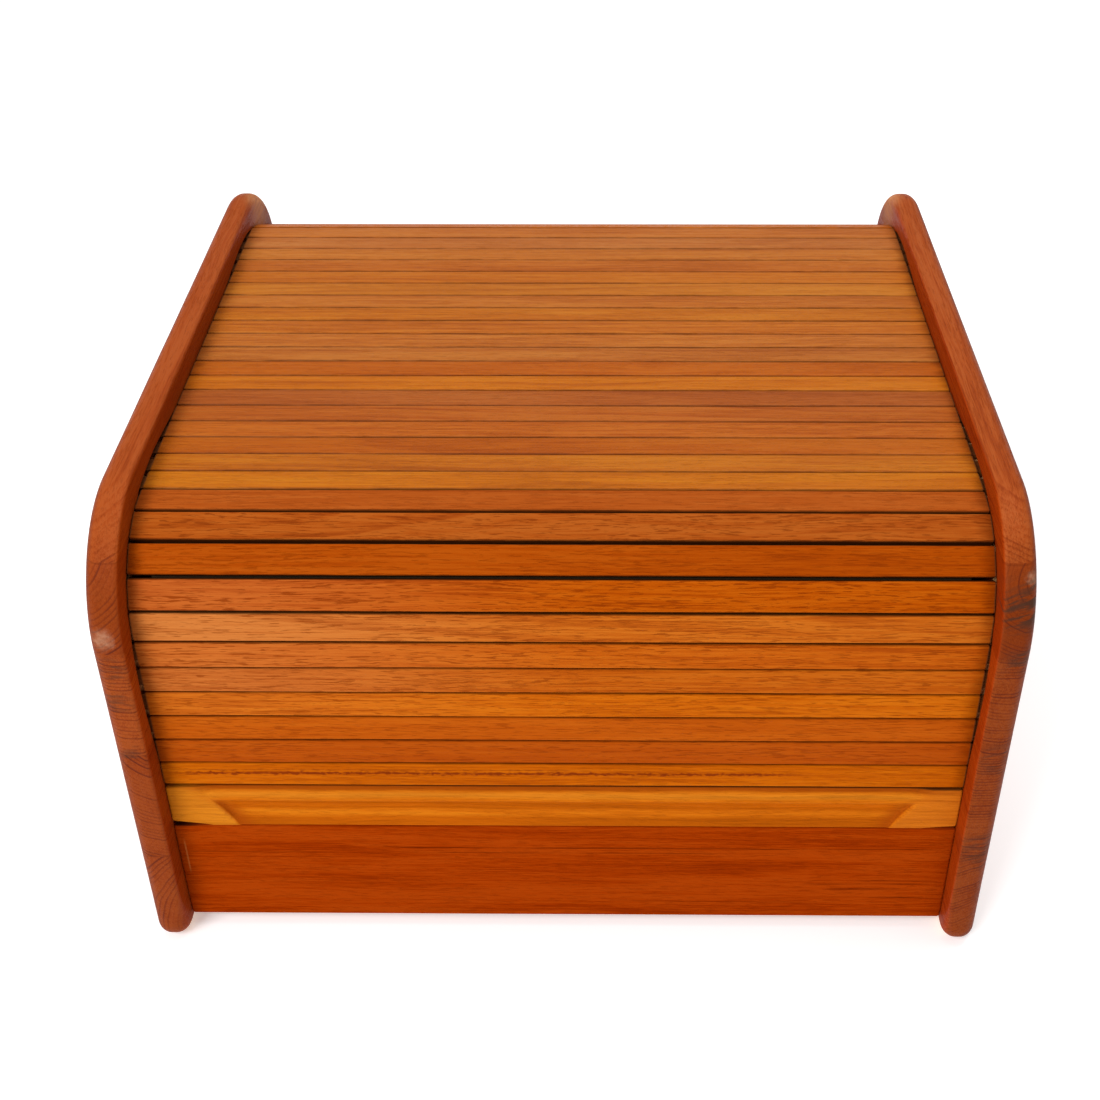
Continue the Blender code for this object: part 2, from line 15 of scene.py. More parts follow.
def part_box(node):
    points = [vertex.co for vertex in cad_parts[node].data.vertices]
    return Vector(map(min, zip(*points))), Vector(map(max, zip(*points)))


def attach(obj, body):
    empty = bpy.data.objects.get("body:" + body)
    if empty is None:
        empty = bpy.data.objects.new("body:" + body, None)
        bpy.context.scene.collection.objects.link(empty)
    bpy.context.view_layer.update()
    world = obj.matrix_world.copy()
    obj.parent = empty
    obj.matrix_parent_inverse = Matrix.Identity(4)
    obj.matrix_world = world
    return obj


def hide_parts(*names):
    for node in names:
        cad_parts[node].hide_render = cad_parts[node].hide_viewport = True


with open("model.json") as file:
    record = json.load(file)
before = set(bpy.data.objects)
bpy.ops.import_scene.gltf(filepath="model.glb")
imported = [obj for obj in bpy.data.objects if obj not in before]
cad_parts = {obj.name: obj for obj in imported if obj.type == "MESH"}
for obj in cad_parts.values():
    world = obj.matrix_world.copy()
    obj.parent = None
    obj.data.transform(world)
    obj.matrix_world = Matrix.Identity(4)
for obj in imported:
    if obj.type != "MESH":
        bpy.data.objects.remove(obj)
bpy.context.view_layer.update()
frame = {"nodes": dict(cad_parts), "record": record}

# ----------------------------------------------------------------------------
# Measures, read from the frame where it holds them
# ----------------------------------------------------------------------------
X_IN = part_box("side_right")[0].x
X_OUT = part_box("side_right")[1].x
Y_RIM_FRONT, Y_RIM_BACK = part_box("side_right")[0].y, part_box("side_right")[1].y
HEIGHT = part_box("side_right")[1].z
Y_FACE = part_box("front_rail")[0].y
Z_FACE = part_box("slat_16")[1].z
Y_BACK_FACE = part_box("slat_35")[1].y
Z_HANDLE_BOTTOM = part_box("handle_slat")[0].z
Z_RAIL_BOTTOM, Z_RAIL_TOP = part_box("front_rail")[0].z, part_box("front_rail")[1].z

TOP_RADIUS, FOOT_RADIUS = 0.057, 0.012
SLAT_PITCH = 0.0142
SLAT_THICKNESS = 0.0040
SLAT_GAP = 0.00062
SLAT_COUNT = 35
CORNER_RADIUS = 0.0448
HANDLE_HEIGHT = 0.02655
SLAT_HALF = X_IN - 0.0004
TONGUE_LENGTH = 0.0052
TONGUE_HALF_WIDTH = 0.0045
TONGUE_LOW, TONGUE_HIGH = 0.0003, 0.0022
CANVAS_WIDTH = 0.350
CANVAS_THICKNESS = 0.0006

LINE_RADIUS = CORNER_RADIUS - SLAT_THICKNESS
Y_LINE_FRONT = Y_FACE + SLAT_THICKNESS
Z_LINE_TOP = Z_FACE - SLAT_THICKNESS
Y_LINE_BACK = Y_BACK_FACE - SLAT_THICKNESS
Z_CORNER = Z_FACE - CORNER_RADIUS
Y_NOSE = Y_FACE + CORNER_RADIUS
Y_TAIL = Y_BACK_FACE - CORNER_RADIUS
RUN_FRONT = Z_CORNER - Z_HANDLE_BOTTOM
RUN_NOSE = LINE_RADIUS * math.pi / 2
RUN_TOP = Y_TAIL - Y_NOSE


def line_point(u):
    a = RUN_FRONT
    b = a + RUN_NOSE
    c = b + RUN_TOP
    d = c + RUN_NOSE
    if u <= a:
        return Vector((Y_LINE_FRONT, Z_HANDLE_BOTTOM + u))
    if u <= b:
        t = (u - a) / LINE_RADIUS
        return Vector((Y_NOSE - LINE_RADIUS * math.cos(t), Z_CORNER + LINE_RADIUS * math.sin(t)))
    if u <= c:
        return Vector((Y_NOSE + (u - b), Z_LINE_TOP))
    if u <= d:
        t = (u - c) / LINE_RADIUS
        return Vector((Y_TAIL + LINE_RADIUS * math.sin(t), Z_CORNER + LINE_RADIUS * math.cos(t)))
    return Vector((Y_LINE_BACK, Z_CORNER - (u - d)))


def line_normal(u):
    a = RUN_FRONT
    b = a + RUN_NOSE
    c = b + RUN_TOP
    d = c + RUN_NOSE
    if u <= a:
        return Vector((-1.0, 0.0))
    if u <= b:
        t = (u - a) / LINE_RADIUS
        return Vector((-math.cos(t), math.sin(t)))
    if u <= c:
        return Vector((0.0, 1.0))
    if u <= d:
        t = (u - c) / LINE_RADIUS
        return Vector((math.sin(t), math.cos(t)))
    return Vector((1.0, 0.0))


def chain_nodes(start, count):
    nodes = [line_point(start)]
    u = start
    for _ in range(count):
        low, high = 0.9 * SLAT_PITCH, 1.2 * SLAT_PITCH
        for _ in range(60):
            mid = (low + high) / 2
            if (line_point(u + mid) - nodes[-1]).length < SLAT_PITCH:
                low = mid
            else:
                high = mid
        u += high
        nodes.append(line_point(u))
    return nodes


NODES = chain_nodes(HANDLE_HEIGHT, SLAT_COUNT)
NODES_OPEN = chain_nodes(HANDLE_HEIGHT + 6 * SLAT_PITCH, SLAT_COUNT)
BODY_OF = {n: b for b, ns in frame["record"]["behaviour"]["bodies"].items() for n in ns}


# ----------------------------------------------------------------------------
# Materials
# ----------------------------------------------------------------------------
class Tree:
    """A small helper that writes a shader tree."""

    def __init__(self, name):
        self.mat = bpy.data.materials.new(name)
        self.mat.use_nodes = True
        self.nt = self.mat.node_tree
        self.nt.nodes.clear()
        out = self.nt.nodes.new("ShaderNodeOutputMaterial")
        self.shader = self.nt.nodes.new("ShaderNodeBsdfPrincipled")
        self.nt.links.new(self.shader.outputs[0], out.inputs["Surface"])
        self.co = self.nt.nodes.new("ShaderNodeTexCoord")

    def put(self, socket, value):
        if isinstance(value, bpy.types.NodeSocket):
            self.nt.links.new(value, socket)
        elif isinstance(value, (tuple, list)) and socket.type == "RGBA" and len(value) == 3:
            socket.default_value = (*value, 1.0)
        else:
            socket.default_value = value

    def math(self, op, a, b=None, c=None, clamp=False):
        n = self.nt.nodes.new("ShaderNodeMath")
        n.operation, n.use_clamp = op, clamp
        for slot, value in zip(n.inputs, (a, b, c)):
            if value is not None:
                self.put(slot, value)
        return n.outputs[0]

    def vec(self, op, a, b=None, scale=None):
        n = self.nt.nodes.new("ShaderNodeVectorMath")
        n.operation = op
        self.put(n.inputs[0], a)
        if b is not None:
            self.put(n.inputs[1], b)
        if scale is not None:
            self.put(n.inputs["Scale"], scale)
        return n.outputs["Value"] if op in ("LENGTH", "DISTANCE", "DOT_PRODUCT") else n.outputs[0]

    def split(self, v):
        n = self.nt.nodes.new("ShaderNodeSeparateXYZ")
        self.put(n.inputs[0], v)
        return n.outputs[0], n.outputs[1], n.outputs[2]

    def join(self, x, y, z):
        n = self.nt.nodes.new("ShaderNodeCombineXYZ")
        for slot, value in zip(n.inputs, (x, y, z)):
            self.put(slot, value)
        return n.outputs[0]

    def noise(self, v, detail=2.0, rough=0.5, distortion=0.0, scale=1.0, colour=False):
        n = self.nt.nodes.new("ShaderNodeTexNoise")
        n.noise_dimensions = "3D"
        self.put(n.inputs["Vector"], v)
        n.inputs["Scale"].default_value = scale
        n.inputs["Detail"].default_value = detail
        n.inputs["Roughness"].default_value = rough
        n.inputs["Distortion"].default_value = distortion
        return n.outputs["Color"] if colour else n.outputs["Fac"]

    def spread(self, value, low, high, out_low=0.0, out_high=1.0, smooth=True):
        n = self.nt.nodes.new("ShaderNodeMapRange")
        n.interpolation_type = "SMOOTHSTEP" if smooth else "LINEAR"
        n.clamp = True
        self.put(n.inputs["Value"], value)
        n.inputs["From Min"].default_value = low
        n.inputs["From Max"].default_value = high
        n.inputs["To Min"].default_value = out_low
        n.inputs["To Max"].default_value = out_high
        return n.outputs[0]

    def ramp(self, fac, stops, interpolation="LINEAR"):
        n = self.nt.nodes.new("ShaderNodeValToRGB")
        n.color_ramp.interpolation = interpolation
        marks = n.color_ramp.elements
        while len(marks) < len(stops):
            marks.new(0.5)
        for mark, (at, value) in zip(marks, stops):
            mark.position = at
            mark.color = (*value, 1.0) if isinstance(value, (tuple, list)) else (value, value, value, 1.0)
        self.put(n.inputs[0], fac)
        return n.outputs[0]

    def mix(self, fac, a, b, blend="MIX"):
        n = self.nt.nodes.new("ShaderNodeMix")
        n.data_type, n.blend_type = "RGBA", blend
        n.clamp_factor = True
        self.put(n.inputs[0], fac)
        self.put(n.inputs[6], a)
        self.put(n.inputs[7], b)
        return n.outputs[2]

    def bump(self, height, strength, distance):
        n = self.nt.nodes.new("ShaderNodeBump")
        n.inputs["Strength"].default_value = strength
        n.inputs["Distance"].default_value = distance
        self.put(n.inputs["Height"], height)
        return n.outputs[0]

    def finish(self, colour, roughness, normal=None, specular=0.3, viewport=(0.5, 0.2, 0.05)):
        self.put(self.shader.inputs["Base Color"], colour)
        self.put(self.shader.inputs["Roughness"], roughness)
        self.shader.inputs["Specular IOR Level"].default_value = specular
        if normal is not None:
            self.put(self.shader.inputs["Normal"], normal)
        self.mat.diffuse_color = (*viewport, 1.0)
        return self.mat


def teak(name, tone, seed, grain="x", contrast=1.0, rings=0.5, ring_gap=0.0022, pith=(0.03, 0.06),
         slope=0.0, warp=0.0030, fibre=0.5, pores=0.5, blotch=0.5, roughness=0.42, specular=0.3,
         ends=None, streaks=(), flecks=(), scuffs_and_sheen=(), boards=None, end_grain_and_shade=None, patches=(),
         depth=0.00022, joints=None, joint_dirt_and_shade_tone=(0.026, 0.008, 0.002), dirt_band=(0.00055, 0.62), inner_face=None,
         worn_lines=(), fade=None, stains=(), flat_ends=None, under_handle_shade=None):
    """Oiled teak as a solid texture: growth rings round a pith that lies off the piece,
    fibres and open pores along the grain, and slow changes of colour."""
    t = Tree(name)
    rng = random.Random(seed)
    here = t.co.outputs["Object"]
    hx, hy, hz = t.split(here)
    p = {"x": here, "y": t.join(hy, hx, hz), "z": t.join(hz, hy, hx)}[grain]
    offset = (rng.uniform(-0.8, 0.8), rng.uniform(-0.3, 0.3), rng.uniform(-0.3, 0.3))
    board_dark = None
    if boards:
        # boards glued edge to edge along Z: each has its own place in the log
        low, high = boards["z"]
        level = t.spread(hz, low, high, smooth=False)
        # each board: where its pith lies (x, z), and how dark it is
        looks = [((0.25 - bx) / 0.5, (0.25 - bz) / 0.5, shade) for bx, bz, shade in boards["look"]]
        stops = [(0.0, looks[0])] + [(cut, look) for cut, look in zip(boards["cuts"], looks[1:])]
        look = t.ramp(level, stops, "CONSTANT")
        la, lb, lc = t.split(look)
        centre = t.join(0.0, t.math("MULTIPLY_ADD", la, 0.50, -0.25),
                        t.math("MULTIPLY_ADD", lb, 0.50, -0.25))
        p = t.vec("ADD", p, t.join(t.math("MULTIPLY", lc, 3.1), 0.0, 0.0))
        board_dark = lc
    p0 = t.vec("ADD", p, offset)

    # slow wandering of the fibres
    sway = t.noise(t.vec("MULTIPLY", p0, (7.0, 26.0, 26.0)), 2.0, 0.5, colour=True)
    sway = t.vec("MULTIPLY", t.vec("SUBTRACT", sway, (0.5, 0.5, 0.5)), (0.0, warp * 2, warp * 2))
    wp = t.vec("ADD", p0, sway)

    # growth rings
    across = t.vec("ADD", t.vec("ADD", p, sway), (0.0, pith[0], pith[1]))
    if boards:
        across = t.vec("ADD", across, centre)
    across = t.vec("MULTIPLY", across, (0.0, 1.0, 1.0))
    px, _, _ = t.split(p)
    phase = t.math("MULTIPLY_ADD", px, slope, t.vec("LENGTH", across))
    phase = t.math("DIVIDE", phase, ring_gap)
    year = t.nt.nodes.new("ShaderNodeTexWhiteNoise")
    year.noise_dimensions = "1D"
    t.put(year.inputs["W"], t.math("FLOOR", phase))
    ring = t.ramp(t.math("FRACT", phase), [(0.0, 0.10), (0.45, 0.30), (0.80, 0.95), (0.90, 0.75), (1.0, 0.10)])
    ring = t.math("MULTIPLY", ring, t.math("MULTIPLY_ADD", year.outputs["Value"], 0.75, 0.25))

    # fibres, pores and slow colour
    streak = t.noise(t.vec("MULTIPLY", wp, (16.0, 620.0, 620.0)), 4.0, 0.62)
    streak = t.spread(streak, 0.32, 0.68)
    fine = t.noise(t.vec("MULTIPLY", wp, (90.0, 2300.0, 2300.0)), 2.0, 0.65)
    fine = t.spread(fine, 0.34, 0.66)
    mid = t.spread(t.noise(t.vec("MULTIPLY", wp, (24.0, 1150.0, 1150.0)), 2.0, 0.6), 0.36, 0.64)
    pore = t.noise(t.vec("MULTIPLY", wp, (120.0, 1600.0, 1600.0)), 2.0, 0.5)
    pore_places = t.noise(t.vec("MULTIPLY", wp, (16.0, 200.0, 200.0)), 2.0, 0.5)
    pore_level = t.math("MULTIPLY_ADD", pore_places, -0.30, 0.745)
    pore = t.spread(t.math("SUBTRACT", pore, pore_level), -0.02, 0.05)
    cloud = t.spread(t.noise(t.vec("MULTIPLY", p0, (6.0, 60.0, 60.0)), 2.0, 0.5), 0.30, 0.70)

    value = t.math("MULTIPLY_ADD", t.math("SUBTRACT", ring, 0.35), rings * contrast, 0.40)
    value = t.math("MULTIPLY_ADD", t.math("SUBTRACT", streak, 0.5), fibre * contrast * 0.62, value)
    value = t.math("MULTIPLY_ADD", t.math("SUBTRACT", fine, 0.5), fibre * contrast * 0.45, value)
    value = t.math("MULTIPLY_ADD", t.math("SUBTRACT", mid, 0.5), fibre * contrast * 0.50, value)
    value = t.math("MULTIPLY_ADD", t.math("SUBTRACT", cloud, 0.5), blotch * contrast * 0.60, value, clamp=True)
    r, g, b = tone
    light = (min(1.0, r * 1.14), g * 1.30, b * 1.5 + 0.001)
    middle = (r * 1.02, g, b)
    dark = (r * 0.76, g * 0.64, b * 0.60)
    deep = (r * 0.36, g * 0.27, b * 0.22)
    colour = t.ramp(value, [(0.0, light), (0.42, middle), (1.0, dark)])

    if fade is not None:
        # painted reflection: a pale veil over the left half, standing for the glossy reflection of the lamp on the
        # left
        x0, x1, strength = fade
        m = t.spread(px, min(x0, x1), max(x0, x1), 0.0 if x1 > x0 else strength, strength if x1 > x0 else 0.0)
        pr, pg, pb = min(1.0, r * 1.14), g * 1.50 + 0.01, b * 2.2 + 0.022
        colour = t.mix(m, colour, t.ramp(value, [(0.0, (min(1.0, pr * 1.08), pg * 1.15, pb * 1.25)), (0.42, (pr, pg, pb)),
                                                 (1.0, (pr * 0.80, pg * 0.66, pb * 0.55))]))
    colour = t.mix(t.math("MULTIPLY", pore, min(1.0, pores) * 0.70), colour, (r * 0.54, g * 0.40, b * 0.34))
    if board_dark is not None:
        colour = t.mix(board_dark, colour, dark)
        for cut in boards["cuts"]:
            z = boards["z"][0] + cut * (boards["z"][1] - boards["z"][0])
            gap = t.math("ABSOLUTE", t.math("SUBTRACT", hz, z))
            colour = t.mix(t.spread(gap, 0.0001, 0.0005, 0.30, 0.0), colour, deep)
    for (v, half, strength, x0, x1) in streaks:
        # a dark vein along the grain, at height v
        wave = t.noise(t.vec("MULTIPLY", p0, (16.0, 0.0, 0.0)), 2.0, 0.5)
        run = t.noise(t.vec("MULTIPLY", t.vec("ADD", p0, (v * 7, 0.0, 0.0)), (9.0, 0.0, 0.0)), 2.0, 0.6)
        _, q, _ = t.split(p)
        line = hz if grain == "x" else q
        off = t.math("SUBTRACT", t.math("MULTIPLY_ADD", t.math("SUBTRACT", wave, 0.5), 0.0016, line), v)
        mask = t.spread(t.math("ABSOLUTE", off), 0.0, abs(half), strength, 0.0)
        mask = t.math("MULTIPLY", mask, t.spread(run, 0.38, 0.55))
        mask = t.math("MULTIPLY", mask, t.spread(px, x0, x0 + 0.02))
        mask = t.math("MULTIPLY", mask, t.spread(px, x1 - 0.02, x1, 1.0, 0.0))
        colour = t.mix(mask, colour, deep)
    for (v, half, strength, x0, x1) in flecks:
        # a row of short dark marks along the grain
        _, q, _ = t.split(p)
        wave = t.noise(t.vec("MULTIPLY", p0, (11.0, 0.0, 0.0)), 1.0, 0.5)
        off = t.math("SUBTRACT", t.math("MULTIPLY_ADD", t.math("SUBTRACT", wave, 0.5), 0.0016, q), v)
        dots = t.noise(t.vec("MULTIPLY", p0, (330.0, 700.0, 700.0)), 2.0, 0.6)
        ragged = t.math("MULTIPLY_ADD", t.math("SUBTRACT", dots, 0.5), half * 3.0, t.math("ABSOLUTE", off))
        mask = t.spread(ragged, half * 0.1, half * 0.9, strength, 0.0)
        mask = t.math("MULTIPLY", mask, t.spread(px, x0, x0 + 0.03))
        mask = t.math("MULTIPLY", mask, t.spread(px, x1 - 0.03, x1, 1.0, 0.0))
        colour = t.mix(mask, colour, (r * 0.42, g * 0.26, b * 0.5 + 0.001))
    for (low, high, v_low, v_high, other, edge) in patches:
        # sapwood or heartwood that takes another colour over part of the piece; on the handle these bands also carry
        # painted shade and highlight
        wave = t.noise(t.vec("MULTIPLY", p0, (20.0, 120.0, 120.0)), 3.0, 0.5)
        wob = t.math("SUBTRACT", wave, 0.5)
        _, q, _ = t.split(p)
        qq = t.math("MULTIPLY_ADD", wob, 0.0022, hz if grain == "x" else q)
        m = t.math("MULTIPLY", t.spread(px, low, low + edge), t.spread(px, high - edge, high, 1.0, 0.0))
        m = t.math("MULTIPLY", m, t.spread(qq, v_low, v_low + 0.0025))
        m = t.math("MULTIPLY", m, t.spread(qq, v_high - 0.0025, v_high, 1.0, 0.0))
        shade = t.ramp(value, [(0.0, tuple(min(1.0, c * 1.22) for c in other)), (0.42, tuple(other)),
                               (1.0, tuple(c * 0.72 for c in other))])
        colour = t.mix(t.math("MULTIPLY", m, 0.85), colour, shade)
    if end_grain_and_shade is not None:
        # cut fibre ends on the faces across the grain drink more oil and look browner
        nx, ny, nz = t.split(t.co.outputs["Normal"])
        facing = t.math("ABSOLUTE", ny if grain == "y" else nx)
        open_ends = t.spread(facing, 0.45, 0.95)
        shade = t.mix(1.0, colour, end_grain_and_shade, "MULTIPLY")
        colour = t.mix(open_ends, colour, shade)
        late = t.math("MULTIPLY", t.spread(ring, 0.24, 0.72), t.math("MULTIPLY_ADD", cloud, 0.45, 0.44))
        colour = t.mix(t.math("MULTIPLY", late, open_ends), colour, (r * 0.30, g * 0.24, b * 0.50))
    if ends is not None:
        # handling dirt, with painted shade, where the slats meet the sides
        end_dirt_shade_noise = t.noise(t.vec("MULTIPLY", p0, (60.0, 160.0, 160.0)), 3.0, 0.6)
        reach = t.math("MULTIPLY_ADD", t.math("SUBTRACT", end_dirt_shade_noise, 0.5), 0.010, t.math("ABSOLUTE", hx))
        colour = t.mix(t.spread(reach, SLAT_HALF - ends, SLAT_HALF + 0.0015, 0.0, 0.60), colour, deep)
        # painted shade: near black over the last millimetre before the cut ends, at the joint with the side
        colour = t.mix(t.spread(t.math("ABSOLUTE", hx), SLAT_HALF - 0.0008, SLAT_HALF - 0.0001, 0.0, 0.75), colour,
                       (0.090, 0.032, 0.012))
    if joints is not None:
        # old crumbs and oil darken the edges that face the next slat; deeper down their sides, in the gap, the
        # darkening is painted shade
        beyond = t.math("MAXIMUM", t.math("SUBTRACT", hy, joints[1]), t.math("SUBTRACT", t.math("MULTIPLY", hy, -1.0), joints[0]))
        rim = t.spread(beyond, -dirt_band[0], -0.00005, 0.0, dirt_band[1])
        thin = t.noise(t.vec("MULTIPLY", p0, (45.0, 20.0, 20.0)), 3.0, 0.6)
        rim = t.math("MULTIPLY", rim, t.spread(thin, 0.36, 0.56, 0.45, 1.0))
        deep_gap_shade = t.spread(hz, SLAT_THICKNESS - 0.0012, SLAT_THICKNESS - 0.0004, 0.88, 0.0)
        edge = t.spread(beyond, -0.0012, -0.0007)
        colour = t.mix(t.math("MAXIMUM", rim, t.math("MULTIPLY", deep_gap_shade, edge)), colour, joint_dirt_and_shade_tone)
    if inner_face is not None:
        # painted shade: the faces turned inwards are darkened, and reddened as long grain
        nx, ny, nz = t.split(t.co.outputs["Normal"])
        inwards = t.math("MULTIPLY", nx, -inner_face[0])
        colour = t.mix(t.spread(inwards, 0.55, 0.95), colour, t.mix(1.0, colour, inner_face[1], "MULTIPLY"))
        # painted shade on the outer arris's rounding, which turns away from the light
        outwards = t.math("MULTIPLY", nx, inner_face[0])
        arris = t.math("MULTIPLY", t.spread(outwards, 0.45, 0.85), t.spread(outwards, 0.95, 0.995, 1.0, 0.0))
        colour = t.mix(t.math("MULTIPLY", arris, 0.50), colour, deep)
        # inside the groove the wood is unoiled and paler, and painted paler still as light to lift the groove's shade
        ay = t.math("MAXIMUM", t.math("SUBTRACT", t.math("ABSOLUTE", t.math("SUBTRACT", hy, (Y_RIM_FRONT + Y_RIM_BACK) / 2)),
                                      (Y_RIM_BACK - Y_RIM_FRONT) / 2 - TOP_RADIUS), 0.0)
        az = t.math("MAXIMUM", t.math("SUBTRACT", hz, HEIGHT - TOP_RADIUS), 0.0)
        below = t.math("SUBTRACT", TOP_RADIUS, t.vec("LENGTH", t.join(ay, az, 0.0)))
        m = t.math("MULTIPLY", t.spread(below, 0.0076, 0.0084), t.spread(t.math("ABSOLUTE", hx), X_IN + 0.0001, X_IN + 0.0005))
        m = t.math("MULTIPLY", m, t.spread(t.math("ABSOLUTE", hx), X_IN + 0.0065, X_IN + 0.0070, 1.0, 0.0))
        colour = t.mix(m, colour, (0.80, 0.42, 0.18))
    for (x, z0, z1, half, strength) in worn_lines:
        # an arris rubbed pale
        off = t.math("ABSOLUTE", t.math("SUBTRACT", hx, x))
        m = t.math("MULTIPLY", t.spread(off, half * 0.4, half, strength, 0.0), t.spread(hz, z0, z0 + 0.006))
        m = t.math("MULTIPLY", m, t.spread(hz, z1 - 0.006, z1, 1.0, 0.0))
        colour = t.mix(m, colour, (0.48, 0.150, 0.035))
    if flat_ends is not None:
        # beyond the scoop's slanting ends the surface was left as it came, paler
        z0, tall, left_tone, right_tone = flat_ends
        line = t.math("MULTIPLY_ADD", t.math("SUBTRACT", hz, z0), 0.0185 / tall, 0.1535)
        off = t.math("SUBTRACT", t.math("ABSOLUTE", hx), line)
        upper = t.spread(hz, z0 + 0.0125, z0 + 0.0185)
        soft = t.math("MULTIPLY_ADD", upper, 11.0, 1.0)
        pale = t.mix(t.spread(hx, -0.01, 0.01), left_tone, right_tone)
        figure = t.mix(1.0, pale, t.mix(t.spread(value, 0.0, 1.0), (1.15, 1.2, 1.3), (0.74, 0.66, 0.6)), "MULTIPLY")
        colour = t.mix(t.spread(t.math("DIVIDE", off, soft), -0.0009, 0.0007, 0.0, 0.9), colour, figure)
        # painted shadow of the first slat on the top bevel, fainter towards the ends
        top_bevel_shadow = t.spread(hz, z0 + tall - 0.0052, z0 + tall - 0.0020, 0.0, 0.45)
        colour = t.mix(t.math("MULTIPLY", top_bevel_shadow, t.spread(t.math("ABSOLUTE", hx), 0.170, 0.181, 1.0, 0.3)), colour,
                       (r * 0.62, g * 0.42, b * 0.5))
        # painted highlight along the ridge, with painted shade on the cove's wall beside it
        ridge_highlight = t.spread(t.math("ABSOLUTE", t.math("ADD", off, 0.0002)), 0.0, 0.0009, 0.26, 0.0)
        ridge_highlight = t.math("MULTIPLY", ridge_highlight, t.spread(hz, z0 + 0.001, z0 + 0.004))
        ridge_highlight = t.math("MULTIPLY", ridge_highlight, t.math("SUBTRACT", 1.0, upper))
        ridge_highlight = t.math("MULTIPLY", ridge_highlight, t.spread(hx, -0.01, 0.01, 1.0, 0.0))
        colour = t.mix(ridge_highlight, colour, (0.66, 0.22, 0.028))
        cove_wall_shade = t.math("MULTIPLY", t.spread(off, -0.012, -0.0015), t.spread(off, -0.0012, -0.0006, 1.0, 0.0))
        cove_wall_shade = t.math("MULTIPLY", cove_wall_shade, t.math("SUBTRACT", 1.0, upper))
        colour = t.mix(t.math("MULTIPLY", cove_wall_shade, 0.78), colour, (r * 0.60, g * 0.40, b * 0.5))
        # painted shade on the very top edge, in the joint under the first slat
        colour = t.mix(t.spread(hz, z0 + tall - 0.0016, z0 + tall - 0.0008, 0.0, 0.85), colour, (0.030, 0.010, 0.003))
    if under_handle_shade is not None:
        # painted shade on the rail's top under the handle's lifted corners, where it shows through the gap
        z0, x0 = under_handle_shade
        where = t.math("MAXIMUM", t.spread(hx, -x0 - 0.018, -x0, 1.0, 0.0), t.spread(hx, x0, x0 + 0.018, 0.0, 0.35))
        m = t.math("MULTIPLY", t.spread(hz, z0 - 0.0006, z0 - 0.0001), where)
        colour = t.mix(t.math("MULTIPLY", m, 0.90), colour, (0.022, 0.007, 0.003))
    for (x, y, z, size, strength) in stains:
        # dark mineral streaks across the rings
        away = t.vec("DISTANCE", here, (x, y, z))
        bent = t.math("MULTIPLY_ADD", t.math("MULTIPLY", t.math("SUBTRACT", hx, x), t.math("SUBTRACT", hx, x)), 22.0, hz)
        lines = t.noise(t.join(t.math("MULTIPLY", hx, 70.0), t.math("MULTIPLY", hy, 60.0), t.math("MULTIPLY", bent, 520.0)),
                        3.0, 0.6)
        patch = t.noise(t.vec("MULTIPLY", here, (60.0, 60.0, 60.0)), 2.0, 0.5)
        reach = t.math("MULTIPLY_ADD", t.math("SUBTRACT", patch, 0.5), size, away)
        m = t.math("MULTIPLY", t.spread(reach, size * 0.3, size, strength, 0.0), t.spread(lines, 0.42, 0.60))
        colour = t.mix(m, colour, (0.060, 0.024, 0.013))
    rough = t.math("MULTIPLY_ADD", t.math("SUBTRACT", streak, 0.5), 0.10, roughness)
    rough = t.math("MULTIPLY_ADD", pore, 0.18, rough)
    for (x, y, z, size, strength, scuff_and_sheen_tone) in scuffs_and_sheen:
        # a small spot is a scuff, rubbed pale; a large one is a painted sheen, lies on one face only, and is smoother
        wide_sheen = size > 0.02
        away = t.vec("LENGTH", t.vec("MULTIPLY", t.vec("SUBTRACT", here, (x, y, z)), (3.6 if wide_sheen else 1.0, 1.0, 1.0)))
        spot_noise = t.noise(t.vec("MULTIPLY", here, (420.0, 420.0, 420.0)), 3.0, 0.6)
        reach = t.math("MULTIPLY_ADD", t.math("SUBTRACT", spot_noise, 0.5), size * (0.3 if wide_sheen else 0.9), away)
        mark = t.math("MULTIPLY", t.spread(reach, size * 0.1, size, strength, 0.0), t.math("MULTIPLY_ADD", streak, 0.6, 0.6))
        colour = t.mix(mark, colour, scuff_and_sheen_tone)
        rough = t.math("MULTIPLY_ADD", mark, 0.25, rough)
    height = t.math("MULTIPLY_ADD", streak, 0.45, t.math("MULTIPLY", pore, -1.0))
    height = t.math("MULTIPLY_ADD", fine, 0.35, height)
    height = t.math("MULTIPLY_ADD", ring, -0.35, height)
    return t.finish(colour, rough, t.bump(height, 0.6, depth), specular, viewport=tone)


def canvas_material(name):
    """Plain-woven cotton, dyed dark brown and greyed by dust, and kept near black as painted shade where it shows in
    the gaps between the slats.
    """
    t = Tree(name)
    hx, hy, hz = t.split(t.co.outputs["Object"])
    warp = t.math("SINE", t.math("MULTIPLY", hx, 2 * math.pi / 0.0009))
    weft = t.math("SINE", t.math("MULTIPLY", hy, 2 * math.pi / 0.0009))
    over = t.math("MULTIPLY", warp, weft)
    threads = t.math("MULTIPLY_ADD", over, 0.5, 0.5)
    slub = t.noise(t.vec("MULTIPLY", t.co.outputs["Object"], (500.0, 500.0, 500.0)), 3.0, 0.6)
    dust = t.noise(t.vec("MULTIPLY", t.co.outputs["Object"], (30.0, 60.0, 60.0)), 3.0, 0.6)
    colour = t.mix(threads, (0.008, 0.0045, 0.002), (0.034, 0.019, 0.008))
    colour = t.mix(t.spread(slub, 0.35, 0.75, 0.0, 0.6), colour, (0.042, 0.024, 0.010))
    colour = t.mix(t.spread(dust, 0.50, 0.75, 0.0, 0.25), colour, (0.036, 0.028, 0.019))
    height = t.math("MULTIPLY_ADD", slub, 0.4, threads)
    mat = t.finish(colour, 0.93, t.bump(height, 0.8, 0.0002), 0.15, viewport=(0.05, 0.03, 0.02))
    return mat


